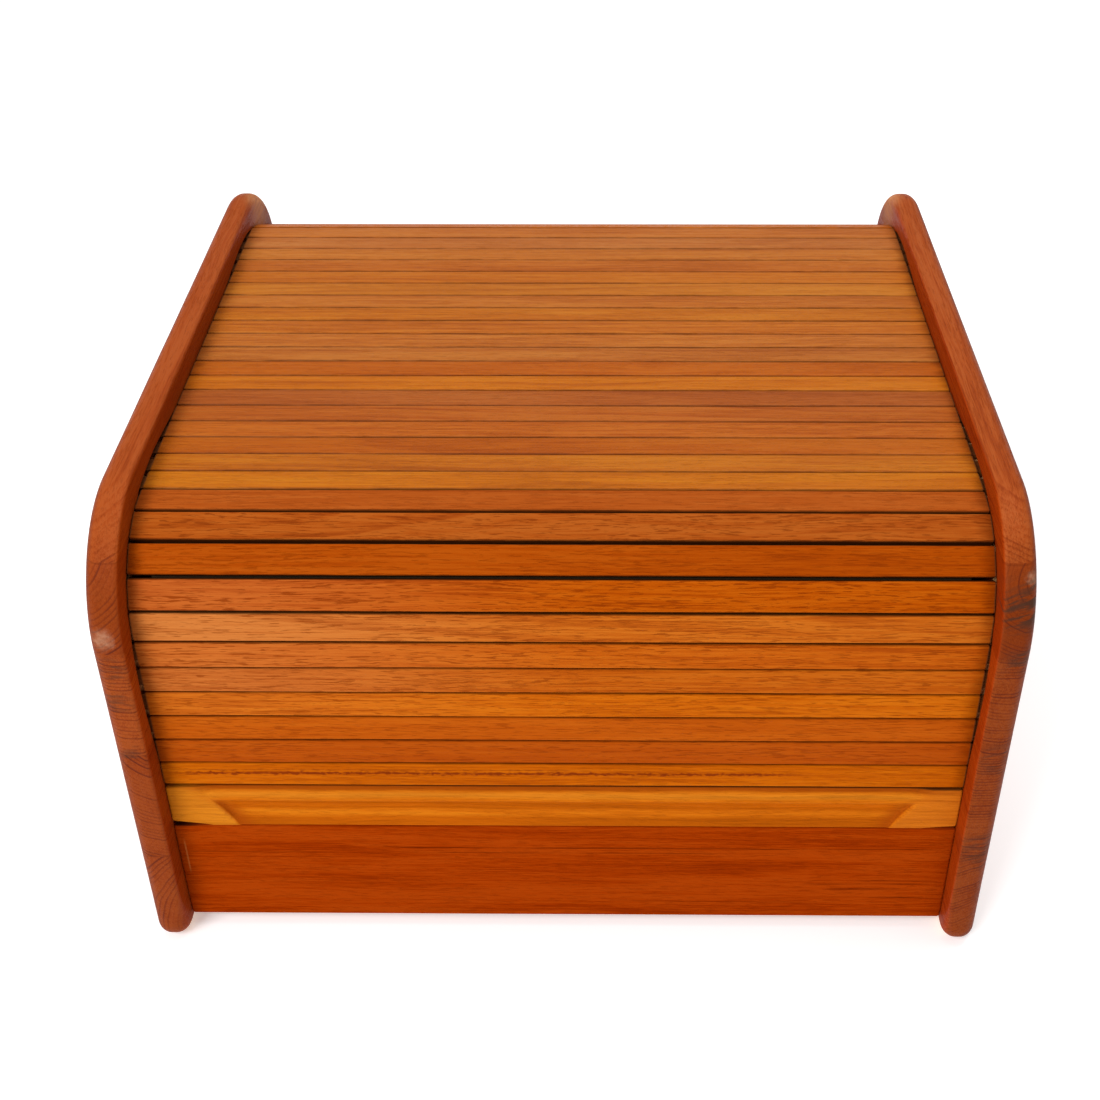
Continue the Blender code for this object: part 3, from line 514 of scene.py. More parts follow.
def beech_material(name):
    t = Tree(name)
    p = t.co.outputs["Object"]
    flecks = t.noise(t.vec("MULTIPLY", p, (180.0, 900.0, 900.0)), 2.0, 0.5)
    slow = t.noise(t.vec("MULTIPLY", p, (30.0, 120.0, 120.0)), 2.0, 0.5)
    colour = t.mix(t.spread(slow, 0.3, 0.7), (0.66, 0.45, 0.26), (0.54, 0.35, 0.19))
    colour = t.mix(t.spread(flecks, 0.58, 0.66, 0.0, 0.55), colour, (0.36, 0.20, 0.10))
    return t.finish(colour, t.spread(flecks, 0.3, 0.7, 0.52, 0.64), t.bump(flecks, 0.3, 0.0002),
                    0.25, viewport=(0.6, 0.4, 0.24))


def ply_material(name, tone, seed, layer_axis, thickness_low, thickness):
    """Veneered board: teak faces, and the layers showing on its edges."""
    t = Tree(name)
    rng = random.Random(seed)
    here = t.co.outputs["Object"]
    p0 = t.vec("ADD", here, (rng.uniform(-0.5, 0.5), rng.uniform(-0.3, 0.3), 0.0))
    flat = t.vec("MULTIPLY", p0, (1.0, 1.0, 1.0))
    sway = t.vec("MULTIPLY", t.vec("SUBTRACT", t.noise(t.vec("MULTIPLY", flat, (4.0, 18.0, 18.0)), 2.0, 0.5, colour=True),
                                   (0.5, 0.5, 0.5)), (0.0, 0.03, 0.03))
    wp = t.vec("ADD", flat, sway)
    figure = t.noise(t.vec("MULTIPLY", wp, (2.0, 70.0, 70.0)), 3.0, 0.55)
    streak = t.spread(t.noise(t.vec("MULTIPLY", wp, (9.0, 420.0, 420.0)), 4.0, 0.6), 0.34, 0.66)
    pore = t.spread(t.noise(t.vec("MULTIPLY", wp, (80.0, 1500.0, 1500.0)), 1.0, 0.4), 0.60, 0.68)
    value = t.math("MULTIPLY_ADD", t.spread(figure, 0.32, 0.68), 0.55, t.math("MULTIPLY", streak, 0.35), clamp=True)
    r, g, b = tone
    colour = t.ramp(value, [(0.0, (r * 1.15, g * 1.2, b * 1.3)), (0.5, tone), (1.0, (r * 0.66, g * 0.55, b * 0.5))])
    colour = t.mix(t.math("MULTIPLY", pore, 0.5), colour, (r * 0.4, g * 0.3, b * 0.3))
    hx, hy, hz = t.split(here)
    across = {"y": hy, "z": hz}[layer_axis]
    level = t.math("DIVIDE", t.math("SUBTRACT", across, thickness_low), thickness)
    layers = t.ramp(level, [(0.0, (0.40, 0.17, 0.06)), (0.12, (0.58, 0.40, 0.22)), (0.38, (0.34, 0.20, 0.10)),
                            (0.62, (0.58, 0.40, 0.22)), (0.88, (0.40, 0.17, 0.06))], "CONSTANT")
    nx, ny, nz = t.split(t.co.outputs["Normal"])
    face = t.math("ABSOLUTE", {"y": ny, "z": nz}[layer_axis])
    colour = t.mix(t.spread(face, 0.6, 0.8), layers, colour)
    height = t.math("MULTIPLY_ADD", streak, 0.5, t.math("MULTIPLY", pore, -1.0))
    return t.finish(colour, t.spread(streak, 0.0, 1.0, 0.50, 0.60), t.bump(height, 0.4, 0.0002), 0.25, viewport=tone)


# ----------------------------------------------------------------------------
# Mesh helpers
# ----------------------------------------------------------------------------
def mesh_object(name, bm, mat, angle=35.0):
    bmesh.ops.recalc_face_normals(bm, faces=bm.faces)
    mesh = bpy.data.meshes.new(name)
    bm.to_mesh(mesh)
    bm.free()
    mesh.shade_smooth()
    mesh.set_sharp_from_angle(angle=math.radians(angle))
    obj = bpy.data.objects.new(name, mesh)
    bpy.context.scene.collection.objects.link(obj)
    if mat is not None:
        mesh.materials.append(mat)
    return obj


def loft(rings, cap=True):
    """A closed skin over rings that have the same number of points."""
    bm = bmesh.new()
    loops = [[bm.verts.new(p) for p in ring] for ring in rings]
    n = len(loops[0])
    for a, b in zip(loops[:-1], loops[1:]):
        for k in range(n):
            bm.faces.new((a[k], a[(k + 1) % n], b[(k + 1) % n], b[k]))
    if cap:
        bm.faces.new(loops[0])
        bm.faces.new(loops[-1])
    return bm


def arc(cy, cz, radius, start, end, steps):
    out = []
    for i in range(steps + 1):
        a = math.radians(start + (end - start) * i / steps)
        out.append((cy + radius * math.cos(a), cz + radius * math.sin(a)))
    return out


def apply_modifiers(obj):
    bpy.context.view_layer.update()
    graph = bpy.context.evaluated_depsgraph_get()
    mesh = bpy.data.meshes.new_from_object(obj.evaluated_get(graph))
    mesh.name = obj.name
    obj.modifiers.clear()
    obj.data = mesh


def cut(obj, tools):
    for tool in tools:
        mod = obj.modifiers.new("cut", "BOOLEAN")
        mod.object = tool
        mod.operation = "DIFFERENCE"
        mod.solver = "EXACT"
    apply_modifiers(obj)
    for tool in tools:
        bpy.data.objects.remove(tool, do_unlink=True)
    obj.data.shade_smooth()
    obj.data.set_sharp_from_angle(angle=math.radians(35))


def box_tool(low, high):
    low, high = Vector(low), Vector(high)
    bm = bmesh.new()
    bmesh.ops.create_cube(bm, size=1.0)
    bmesh.ops.scale(bm, vec=high - low, verts=bm.verts)
    bmesh.ops.translate(bm, vec=(low + high) / 2, verts=bm.verts)
    return mesh_object("tool", bm, None)


def rod_tool(x0, x1, y, z, radius):
    bm = bmesh.new()
    bmesh.ops.create_cone(bm, cap_ends=True, segments=32, radius1=radius, radius2=radius, depth=abs(x1 - x0))
    bmesh.ops.rotate(bm, verts=bm.verts, matrix=Matrix.Rotation(math.pi / 2, 3, "Y"))
    bmesh.ops.translate(bm, vec=((x0 + x1) / 2, y, z), verts=bm.verts)
    return mesh_object("tool", bm, None)


def rounded_section(y0, y1, z0, z1, radius, steps=5, rows=8):
    """A rounded rectangle in (y, z), with points along its long faces."""
    points = arc(y1 - radius, z0 + radius, radius, -90, 0, steps)
    for k in range(1, rows):
        points.append((y1, z0 + radius + (z1 - z0 - 2 * radius) * k / rows))
    points += arc(y1 - radius, z1 - radius, radius, 0, 90, steps)
    points += arc(y0 + radius, z1 - radius, radius, 90, 180, steps)
    for k in range(1, rows):
        points.append((y0, z1 - radius - (z1 - z0 - 2 * radius) * k / rows))
    points += arc(y0 + radius, z0 + radius, radius, 180, 270, steps)
    return points


def waver(x, y, seed, size, amount):
    """A slow hand-made unevenness, the same on every run."""
    return noise.noise(Vector((x / size + seed * 3.7, y / size + seed * 1.3, seed * 0.77))) * amount


# ----------------------------------------------------------------------------
# Sides
# ----------------------------------------------------------------------------
EDGE_ROUND = 0.0064


def side_outline():
    """Points and outward normals of a side's outline in (y, z)."""
    out = []

    def corner(cy, cz, radius, start, end, steps):
        for i in range(steps + 1):
            a = math.radians(start + (end - start) * i / steps)
            n = Vector((math.cos(a), math.sin(a)))
            out.append((Vector((cy, cz)) + n * radius, n))

    def straight(to, steps):
        a, n = out[-1]
        for i in range(1, steps):
            out.append((a.lerp(to, i / steps), n.copy()))

    corner(Y_RIM_FRONT + FOOT_RADIUS, FOOT_RADIUS, FOOT_RADIUS, 270, 180, 12)
    straight(Vector((Y_RIM_FRONT, HEIGHT - TOP_RADIUS)), 20)
    corner(Y_RIM_FRONT + TOP_RADIUS, HEIGHT - TOP_RADIUS, TOP_RADIUS, 180, 90, 40)
    straight(Vector((Y_RIM_BACK - TOP_RADIUS, HEIGHT)), 34)
    corner(Y_RIM_BACK - TOP_RADIUS, HEIGHT - TOP_RADIUS, TOP_RADIUS, 90, 0, 40)
    straight(Vector((Y_RIM_BACK, FOOT_RADIUS)), 20)
    corner(Y_RIM_BACK - FOOT_RADIUS, FOOT_RADIUS, FOOT_RADIUS, 0, -90, 12)
    straight(Vector((Y_RIM_FRONT + FOOT_RADIUS, 0.0)), 34)
    return out


# how far the groove's outer wall stands above the canvas line, by distance outside the nearest corner
GROOVE_OUTER = [(-0.007, 0.00255), (-0.003, 0.00310), (0.000, 0.00415), (0.003, 0.00490), (0.008, 0.00575),
                (0.016, 0.00635), (0.024, 0.00675), (0.033, 0.00675), (0.042, 0.00615), (0.056, 0.00505),
                (0.066, 0.00400), (0.074, 0.00315), (0.086, 0.00255)]


def groove_outline():
    end = RUN_FRONT + RUN_NOSE + RUN_TOP + RUN_NOSE
    nose = (RUN_FRONT, RUN_FRONT + RUN_NOSE)
    tail = (nose[1] + RUN_TOP, end)
    last = end + (Z_CORNER - NODES_OPEN[-1].y) + 0.0004

    def relief(u):
        best = 0.0
        for a, b in (nose, tail):
            near = 1.0 if a <= u <= b else max(0.0, 1.0 - (a - u if u < a else u - b) / 0.016)
            best = max(best, near * near * (3 - 2 * near))
        return best

    def outer_wall(u):
        best = GROOVE_OUTER[0][1]
        for a, b in (nose, tail):
            gap = max(a - u, u - b)
            for (g0, w0), (g1, w1) in zip(GROOVE_OUTER[:-1], GROOVE_OUTER[1:]):
                if g0 <= gap <= g1:
                    best = max(best, w0 + (w1 - w0) * (gap - g0) / (g1 - g0))
        return best

    stations = [-0.00015]
    for a, b in (nose, tail):
        stations += [a - 0.090 * k / 30 for k in range(1, 31)] + [b + 0.090 * k / 30 for k in range(1, 31)]
        stations += [a + (b - a) * k / 28 for k in range(0, 29)]
    stations.append(last)
    outer, inner = [], []
    for u in sorted(u for u in stations if u <= last):
        p, n = line_point(u), line_normal(u)
        outer.append(tuple(p + n * outer_wall(u)))
        inner.append(tuple(p - n * (0.0012 + (0.0054 - 0.0012) * relief(u))))
    return outer + inner[::-1]


def make_side(name, sign, mat, seed):
    outline = side_outline()
    half = (X_OUT - X_IN) / 2
    mid = sign * (X_IN + X_OUT) / 2
    steps = 9

    def profile(low):
        """From the inner face's edge over the rim to the outer face: (across, inset) pairs.
        The inner arris is only eased; the foot's is as round as the outer one."""
        inner = 0.0018 + (EDGE_ROUND - 0.0018) * low
        out = []
        for i in range(steps + 1):
            a = math.pi / 2 * i / steps
            out.append((-half + inner * (1 - math.cos(a)), inner * (1 - math.sin(a))))
        mid_x = (-half + inner + half - EDGE_ROUND) / 2
        out.append((mid_x, 0.0))
        for i in range(steps + 1):
            a = math.pi / 2 * i / steps
            out.append((half - EDGE_ROUND * (1 - math.sin(a)), EDGE_ROUND * (1 - math.cos(a))))
        # the flat of the rim falls a little towards both arrises
        return [(x, inset + 0.00035 * ((x - mid_x) / half) ** 2) for x, inset in out]

    profiles = []
    for point, normal in outline:
        low = max(0.0, min(1.0, (0.034 - point.y) / 0.026))
        behind = max(0.0, min(1.0, (point.x - 0.070) / 0.085))
        low = max(low, 0.85 * behind)
        profiles.append(profile(low * low * (3 - 2 * low)))
    rings = []
    for j in range(len(profiles[0])):
        ring = []
        for k, (point, normal) in enumerate(outline):
            across, inset = profiles[k][j]
            # the rim is shaped by hand: it wanders by a tenth of a millimetre, never outwards
            wander = waver(point.x, point.y, seed, 0.045, 0.00014) - 0.00008
            q = point - normal * (inset - min(0.0, wander))
            ring.append((mid + sign * across, q.x, max(0.0, q.y)))
        rings.append(ring)
    bm = loft(rings)
    side = mesh_object(name, bm, mat)
    g = 0.0003
    s = sign

    def span(xa, xb):
        return min(s * xa, s * xb), max(s * xa, s * xb)

    run = groove_outline()
    gx0, gx1 = span(X_IN - 0.006, X_IN + 0.006)
    tools = [mesh_object("tool", loft([[(gx0, y, z) for y, z in run], [(gx1, y, z) for y, z in run]]), None)]
    for node, depth in (("floor_panel", 0.004), ("back_board", 0.004), ("inner_back", 0.003)):
        low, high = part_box(node)
        x0, x1 = span(X_IN - 0.004, X_IN + depth)
        z_low = low.z - g if node != "inner_back" else low.z - 0.0013
        tools.append(box_tool((x0, low.y - g, z_low), (x1, high.y + g, high.z + g)))
    for level in ("lower", "upper"):
        low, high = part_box("rail_dowel_%s_%s" % ("left" if s < 0 else "right", level))
        y, z = (low.y + high.y) / 2, (low.z + high.z) / 2
        tools.append(rod_tool(s * (X_IN - 0.004), (high.x + g) if s > 0 else (low.x - g), y, z, 0.0043))
    cut(side, tools)
    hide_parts(name)
    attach(side, "case")
    return side


# ----------------------------------------------------------------------------
# Slats
# ----------------------------------------------------------------------------
def slat_rings(seed, spare, crown=0.00006, edge=0.0008):
    """Rings along X; each is (x, along the curtain, outwards) round the slat's own middle."""
    rng = random.Random(seed)
    width = (SLAT_PITCH - SLAT_GAP) / 2
    c, t = 0.0004, SLAT_THICKNESS
    stations = 46
    turn = rng.uniform(-1, 1) * 0.00004

    def ring(x, shape):
        up = waver(x, 0.0, seed, 0.11, 0.00009)
        down = waver(x, 5.0, seed, 0.11, 0.00009)
        wu, wd = width + spare[1] - abs(up), width + spare[0] - abs(down)
        r = edge * (1 + 0.25 * math.sin(seed * 1.7 + x * 23))
        points = [(-wd + c, 0.0), (-wd * 0.33, 0.0), (wu * 0.33, 0.0), (wu - c, 0.0), (wu, c), (wu, t * 0.45)]
        points += arc(wu - r, t - r, r, 0, 90, 5)
        for k in range(1, 6):
            y = (wu - r) + (-(wd - r) - (wu - r)) * k / 6
            points.append((y, t))
        points += arc(-wd + r, t - r, r, 90, 180, 5)
        points += [(-wd, t * 0.45), (-wd, c)]
        out = []
        for y, z in points:
            if z > t * 0.8:
                bow = crown * (1 - (y / width) ** 2)
                z += bow - crown + waver(x, y * 4, seed + 50, 0.05, 0.00003) + turn * y / width - abs(turn)
            out.append((x, y, z))
        return out

    def tongue(x, ring_points):
        """The same points drawn in to the tongue's rounded rectangle."""
        out = []
        for _, y, z in ring_points:
            ty = max(-TONGUE_HALF_WIDTH, min(TONGUE_HALF_WIDTH, y * TONGUE_HALF_WIDTH / (width - 0.0009)))
            tz = TONGUE_LOW + (TONGUE_HIGH - TONGUE_LOW) * min(1.0, max(0.0, z / t))
            out.append((x, ty, tz))
        return out

    rings = []
    first, last = ring(-SLAT_HALF, 0), ring(SLAT_HALF, 0)
    rings.append(tongue(-SLAT_HALF - TONGUE_LENGTH, first))
    rings.append(tongue(-SLAT_HALF - 0.00001, first))
    ease = 0.0004

    def drawn_in(points, x):
        return [(x, y * (1 - ease / width), z * (1 - ease / t * 0.5) + ease * 0.25) for _, y, z in points]

    rings.append(drawn_in(first, -SLAT_HALF))
    rings.append([(-SLAT_HALF + ease, y, z) for _, y, z in first])
    for k in range(1, stations):
        rings.append(ring(-SLAT_HALF + 2 * SLAT_HALF * k / stations, 0))
    rings.append([(SLAT_HALF - ease, y, z) for _, y, z in last])
    rings.append(drawn_in(last, SLAT_HALF))
    rings.append(tongue(SLAT_HALF + 0.00001, last))
    rings.append(tongue(SLAT_HALF + TONGUE_LENGTH, last))
    return rings


# some slats were planed less than others: what they have over the usual width, (lower edge, upper edge)
SLAT_SPARE = {6: (0.0, 0.00032), 7: (0.00030, 0.0), 9: (0.0, 0.00022), 10: (0.00022, 0.0)}


def make_slat(index, mat):
    name = "slat_%02d" % (index + 1)
    bm = loft(slat_rings(index + 11, SLAT_SPARE.get(index, (0.0, 0.0))))
    obj = mesh_object(name + "_teak", bm, mat, 40)
    a, b = NODES[index], NODES[index + 1]
    middle = (a + b) / 2
    angle = math.atan2((b - a).y, (b - a).x)
    obj.matrix_world = Matrix.Translation((0, middle.x, middle.y)) @ Matrix.Rotation(angle, 4, "X")
    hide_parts(name)
    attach(obj, BODY_OF[name])
    return obj


# ----------------------------------------------------------------------------
# Canvas, cut along the slats' edges so that each strip turns with its slat
# ----------------------------------------------------------------------------
def make_canvas(index, mat):
    """The stretch of canvas glued behind one slat; index -1 is the lap on the handle slat."""
    half = CANVAS_WIDTH / 2
    t = CANVAS_THICKNESS
    if index < 0:
        length, top = 0.0080, NODES[0]
        middle, angle = top - Vector((0.0, length / 2)), math.pi / 2
        body, rests = "handle", "handle_slat_teak"
    else:
        a, b = NODES[index], NODES[index + 1]
        length = (b - a).length
        middle, angle = (a + b) / 2, math.atan2((b - a).y, (b - a).x)
        name = "slat_%02d" % (index + 1)
        body, rests = BODY_OF[name], name + "_teak"
    z0 = -0.00012
    # the ends slope, so that neighbours meet and do not cross where the canvas bends round a corner
    outer, inner = length / 2 - 0.00003, length / 2 - 0.00014
    rings = []
    for k in range(71):
        x = -half + 2 * half * k / 70
        fray = waver(x, 1.0, index + 90, 0.02, 0.00003)
        ring = []
        for m in range(9):
            y = inner * (m / 4 - 1)
            ring.append((x, y, z0 - t - 0.00004 * math.sin(math.pi * m / 8) + fray * math.sin(math.pi * m / 8)))
        for m in range(9):
            y = outer * (1 - m / 4)
            ring.append((x, y, z0))
        rings.append(ring)
    obj = mesh_object("canvas_%02d" % (index + 1), loft(rings), mat, 50)
    obj.matrix_world = Matrix.Translation((0, middle.x, middle.y)) @ Matrix.Rotation(angle, 4, "X")
    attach(obj, body)
    return obj


# ----------------------------------------------------------------------------
# Handle slat, with its finger scoop
# ----------------------------------------------------------------------------
def ramp01(v):
    v = max(0.0, min(1.0, v))
    return v * v * (3 - 2 * v)


HANDLE_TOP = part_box("handle_slat")[1].z
HANDLE_TALL = HANDLE_TOP - Z_HANDLE_BOTTOM

# depth of the scooped face behind the flat ends, from the bottom edge up (mm, mm)
SCOOP = [(0.0, 0.35), (1.5, 0.75), (3.0, 1.30), (5.0, 2.10), (7.0, 2.65), (9.0, 2.90), (11.0, 2.80), (13.0, 2.30),
         (14.5, 1.60), (15.8, 0.80), (16.6, 0.20), (17.0, 0.0), (17.5, 0.02), (18.5, 0.30), (20.0, 0.75),
         (22.0, 1.20), (24.0, 1.40), (27.0, 1.45)]


def scoop_depth(s):
    mm = s * 1000
    for (a, da), (b, db) in zip(SCOOP[:-1], SCOOP[1:]):
        if mm <= b:
            f = (mm - a) / (b - a)
            return (da + (db - da) * f) / 1000
    return SCOOP[-1][1] / 1000


def handle_depth(x, s):
    """How far the front face lies behind the flat ends."""
    ax = abs(x)
    reach = 0.1535 + 0.0185 * s / HANDLE_TALL
    reach += waver(x * 0, s * 2, 3 if x < 0 else 4, 0.02, 0.0004)
    soft = 0.0030 if s < 0.0172 else 0.012
    m = max(0.0, min(1.0, (reach - ax) / soft))
    m = math.sin(m * math.pi / 2)
    return scoop_depth(s) * m


def make_handle(mat):
    xs = []
    x = -SLAT_HALF
    while x < SLAT_HALF:
        xs.append(x)
        x += 0.0007 if 0.148 < abs(x) < 0.176 else 0.0045 if abs(x) < 0.14 else 0.0018
    xs.append(SLAT_HALF)
    t_thin, t_thick = SLAT_THICKNESS, 0.0090
    step = HANDLE_TALL - 0.0100
    rows = [i / 44 for i in range(45)]
    r = 0.0008

    def section(x):
        lift = 0.0
        if x < -0.166:
            lift = 0.0027 * ((-0.166 - x) / (SLAT_HALF - 0.166)) ** 0.8
        elif x > 0.168:
            lift = 0.0015 * ((x - 0.168) / (SLAT_HALF - 0.168)) ** 0.9
        # the top edge was planed a little low towards the left end
        top = HANDLE_TALL - 0.0007 - 0.0006 * max(0.0, min(1.0, (-0.03 - x) / 0.14))
        points = []
        # front, from the bottom up
        for k in range(5):
            a = math.pi / 2 * k / 4
            s = lift + r * (1 - math.sin(a))
            d = handle_depth(x, max(0.0, s))
            points.append((d + r * (1 - math.cos(a)), s))
        points = points[::-1]
        body = []
        for f in rows:
            s = lift + r + (top - 2 * r - lift) * f
            body.append((handle_depth(x, s) + waver(x, s * 3, 21, 0.06, 0.00003) + 0.00003, s))
        points = points[:-1] + body[0:]
        for k in range(1, 5):
            a = math.pi / 2 * k / 4
            s = top - r + r * math.sin(a)
            points.append((handle_depth(x, s) + r * (1 - math.cos(a)) + 0.00003, s))
        # back, from the top down
        points += [(t_thin - 0.0006, top), (t_thin, top - 0.0006), (t_thin, (top + step) / 2), (t_thin, step + 0.0004),
                   (t_thin + 0.0004, step), (t_thick - 0.0016, step), (t_thick - 0.0006, step - 0.0006),
                   (t_thick, step - 0.0016), (t_thick, step * 0.6), (t_thick, step * 0.3),
                   (t_thick, lift + 0.0010), (t_thick - 0.0010, lift)]
        return [(x, Y_FACE + d, Z_HANDLE_BOTTOM + s) for d, s in points]

    def tongue(x, points):
        y0, y1 = Y_LINE_FRONT - TONGUE_HIGH, Y_LINE_FRONT - TONGUE_LOW
        z0, z1 = Z_HANDLE_BOTTOM + 0.0030, Z_HANDLE_BOTTOM + 0.0215
        out = []
        for _, y, z in points:
            fy = max(0.0, min(1.0, (y - Y_FACE) / SLAT_THICKNESS))
            fz = max(0.0, min(1.0, (z - Z_HANDLE_BOTTOM) / HANDLE_TALL))
            out.append((x, y0 + (y1 - y0) * fy, z0 + (z1 - z0) * fz))
        return out

    first, last = section(xs[0]), section(xs[-1])
    ease = 0.0006

    def drawn_in(points, x):
        cy, cz = Y_FACE + 0.003, Z_HANDLE_BOTTOM + HANDLE_TALL / 2
        return [(x, y + (cy - y) * 0.12, z + (cz - z) * 0.04) for _, y, z in points]

    rings = [tongue(-SLAT_HALF - TONGUE_LENGTH, first), tongue(-SLAT_HALF - 0.00001, first),
             drawn_in(first, -SLAT_HALF), [(-SLAT_HALF + ease, y, z) for _, y, z in first]]
    rings += [section(x) for x in xs[1:-1]]
    rings += [[(SLAT_HALF - ease, y, z) for _, y, z in last], drawn_in(last, SLAT_HALF),
              tongue(SLAT_HALF + 0.00001, last), tongue(SLAT_HALF + TONGUE_LENGTH, last)]
    obj = mesh_object("handle_slat_teak", loft(rings), mat, 42)
    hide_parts("handle_slat")
    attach(obj, "handle")
    return obj


# ----------------------------------------------------------------------------
# Rail and boards
# ----------------------------------------------------------------------------
def make_rail(mat):
    low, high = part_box("front_rail")
    g_low, g_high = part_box("floor_panel")[0].z - 0.0003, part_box("floor_panel")[1].z + 0.0003
    radius = 0.0011
    rings = []
    stations = [0.0, 0.0004, 0.0011] + [0.0011 + (high.x - low.x - 0.0022) * k / 44 for k in range(1, 45)]
    stations += [high.x - low.x - 0.0004, high.x - low.x]
    for d in stations:
        x = low.x + d
        inset = max(0.0, 0.0007 - min(d, high.x - low.x - d)) * 0.9
        ring = []
        for y, z in rounded_section(low.y + inset, high.y - inset, low.z + inset, high.z - inset, radius, 5, 14):
            if y < low.y + 0.0005:
                y += 0.00005 + waver(x, z, 31, 0.07, 0.00005)
            ring.append((x, y, z))
        rings.append(ring)
    rail = mesh_object("front_rail_teak", loft(rings), mat)
    tools = [box_tool((low.x - 0.01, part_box("floor_panel")[0].y - 0.0003, g_low), (high.x + 0.01, high.y + 0.01, g_high))]
    for side in ("left", "right"):
        for level in ("lower", "upper"):
            a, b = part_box("rail_dowel_%s_%s" % (side, level))
            x0, x1 = (low.x - 0.004, b.x + 0.0003) if side == "left" else (a.x - 0.0003, high.x + 0.004)
            tools.append(rod_tool(x0, x1, (a.y + b.y) / 2, (a.z + b.z) / 2, 0.0043))
    cut(rail, tools)
    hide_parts("front_rail")
    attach(rail, "case")
    return rail


def make_board(node, mat, radius, seed, groove=None):
    """A board with eased edges and a face that is not quite flat."""
    low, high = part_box(node)
    axis = "y" if high.y - low.y < high.z - low.z else "z"
    rings = []
    count = 40
    for k in range(count + 1):
        x = low.x + (high.x - low.x) * k / count
        inset = radius * 0.6 if k in (0, count) else 0.0
        if axis == "y":
            section = rounded_section(low.y + inset, high.y - inset, low.z + inset, high.z - inset, radius, 4, 16)
        else:
            section = [(y, z) for z, y in rounded_section(low.z + inset, high.z - inset, low.y + inset,
                                                          high.y - inset, radius, 4, 16)]
        ring = []
        for y, z in section:
            if axis == "y" and not groove:
                y -= abs(waver(x, z, seed, 0.12, 0.00008)) if y > (low.y + high.y) / 2 else 0.0
            ring.append((x, y, z))
        rings.append(ring)
    # the ends are eased over a millimetre
    rings.insert(1, [(low.x + radius, y, z) for _, y, z in rings[1]])
    rings.insert(-1, [(high.x - radius, y, z) for _, y, z in rings[-2]])
    board = mesh_object(node + "_teak", loft(rings), mat)
    if groove:
        cut(board, [box_tool(*groove)])
    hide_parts(node)
    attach(board, "case")
    return board


# ----------------------------------------------------------------------------
# Put together
# ----------------------------------------------------------------------------
# Each slat was cut from its own strip of teak: its middle colour, and how it is figured
SLAT_TONES = [
    (0.454, 0.094, 0.0005), (0.361, 0.059, 0.0015), (0.405, 0.073, 0.0019), (0.463, 0.096, 0.0013),
    (0.412, 0.082, 0.0028), (0.421, 0.081, 0.0026), (0.436, 0.097, 0.0056), (0.372, 0.063, 0.0005),
    (0.315, 0.049, 0.0005), (0.318, 0.063, 0.0049), (0.336, 0.066, 0.0064), (0.423, 0.110, 0.0021),
    (0.391, 0.099, 0.0035), (0.355, 0.075, 0.0024), (0.375, 0.083, 0.0053), (0.348, 0.077, 0.0063),
    (0.326, 0.077, 0.0097), (0.420, 0.105, 0.0030), (0.364, 0.076, 0.0025), (0.370, 0.101, 0.0120),
    (0.406, 0.113, 0.0125), (0.412, 0.108, 0.0083), (0.400, 0.105, 0.0056), (0.385, 0.103, 0.0111),
    (0.414, 0.121, 0.0095), (0.399, 0.102, 0.0065), (0.389, 0.099, 0.0096), (0.409, 0.117, 0.0137),
    (0.385, 0.112, 0.0191), (0.401, 0.110, 0.0148), (0.437, 0.099, 0.0017), (0.390, 0.100, 0.0067),
    (0.406, 0.107, 0.0067), (0.374, 0.093, 0.0067), (0.390, 0.100, 0.0067)]
SLAT_FIGURE = {
    0: dict(flecks=[(0.0009, 0.0013, 0.95, -0.190, 0.12), (0.0030, 0.0006, 0.50, -0.190, 0.02)], fibre=0.6, rings=0.5),
    1: dict(rings=0.3, fibre=0.4),
    2: dict(rings=0.4, fibre=0.4),
    3: dict(fibre=0.8, pores=0.9),
    4: dict(fibre=0.8, pores=0.9),
    5: dict(rings=0.7, fibre=0.9, pores=1.0, slope=0.02),
    6: dict(rings=0.8, fibre=0.9, slope=-0.02, pores=0.9),
    7: dict(rings=0.6, fibre=1.0, pores=1.0, slope=0.012),
    8: dict(rings=0.4, fibre=0.7, pores=0.6),
    9: dict(rings=1.0, ring_gap=0.0030, warp=0.006, slope=0.03, fibre=0.8, pores=0.9),
    15: dict(rings=0.7, fibre=0.6, blotch=0.9, slope=-0.02),
    16: dict(rings=0.3, fibre=0.5),
}

for i in range(SLAT_COUNT):
    rng = random.Random(400 + i)
    look = dict(rings=rng.uniform(0.30, 0.60), ring_gap=rng.uniform(0.0018, 0.0034),
                pith=(rng.uniform(-0.05, 0.05), rng.uniform(0.03, 0.08) * rng.choice((-1, 1))),
                slope=rng.uniform(-0.020, 0.020), warp=rng.uniform(0.0015, 0.0038),
                fibre=rng.uniform(0.45, 0.75), pores=rng.uniform(0.35, 0.75), blotch=rng.uniform(0.35, 0.8),
                roughness=rng.uniform(0.40, 0.48))
    if i > 10:
        look["pores"], look["blotch"] = rng.uniform(0.10, 0.32), rng.uniform(0.55, 1.0)
    look.update(SLAT_FIGURE.get(i, {}))
    shine = 0.01 if i < 11 else 0.09
    # slats with index 3 to 7 get a painted reflection, paler towards the left end
    if 2 < i < 8:
        look["fade"] = (0.02, -0.17, (0.25, 0.6, 0.5, 0.75, 0.5)[i - 3])
    make_slat(i, teak("teak_slat_%02d" % (i + 1), SLAT_TONES[i], 40 + i, ends=0.008 if i < 11 else 0.006, specular=shine,
                      joints=tuple((SLAT_PITCH - SLAT_GAP) / 2 + w for w in SLAT_SPARE.get(i, (0.0, 0.0))),
                      joint_dirt_and_shade_tone=(0.085, 0.019, 0.002) if i < 6 else (0.026, 0.008, 0.002) if i < 11
                      else (0.085, 0.022, 0.005), dirt_band=(0.00055, 0.50) if i < 6 else (0.00055, 0.62) if i < 11
                      else (0.00085, 0.60), **look))

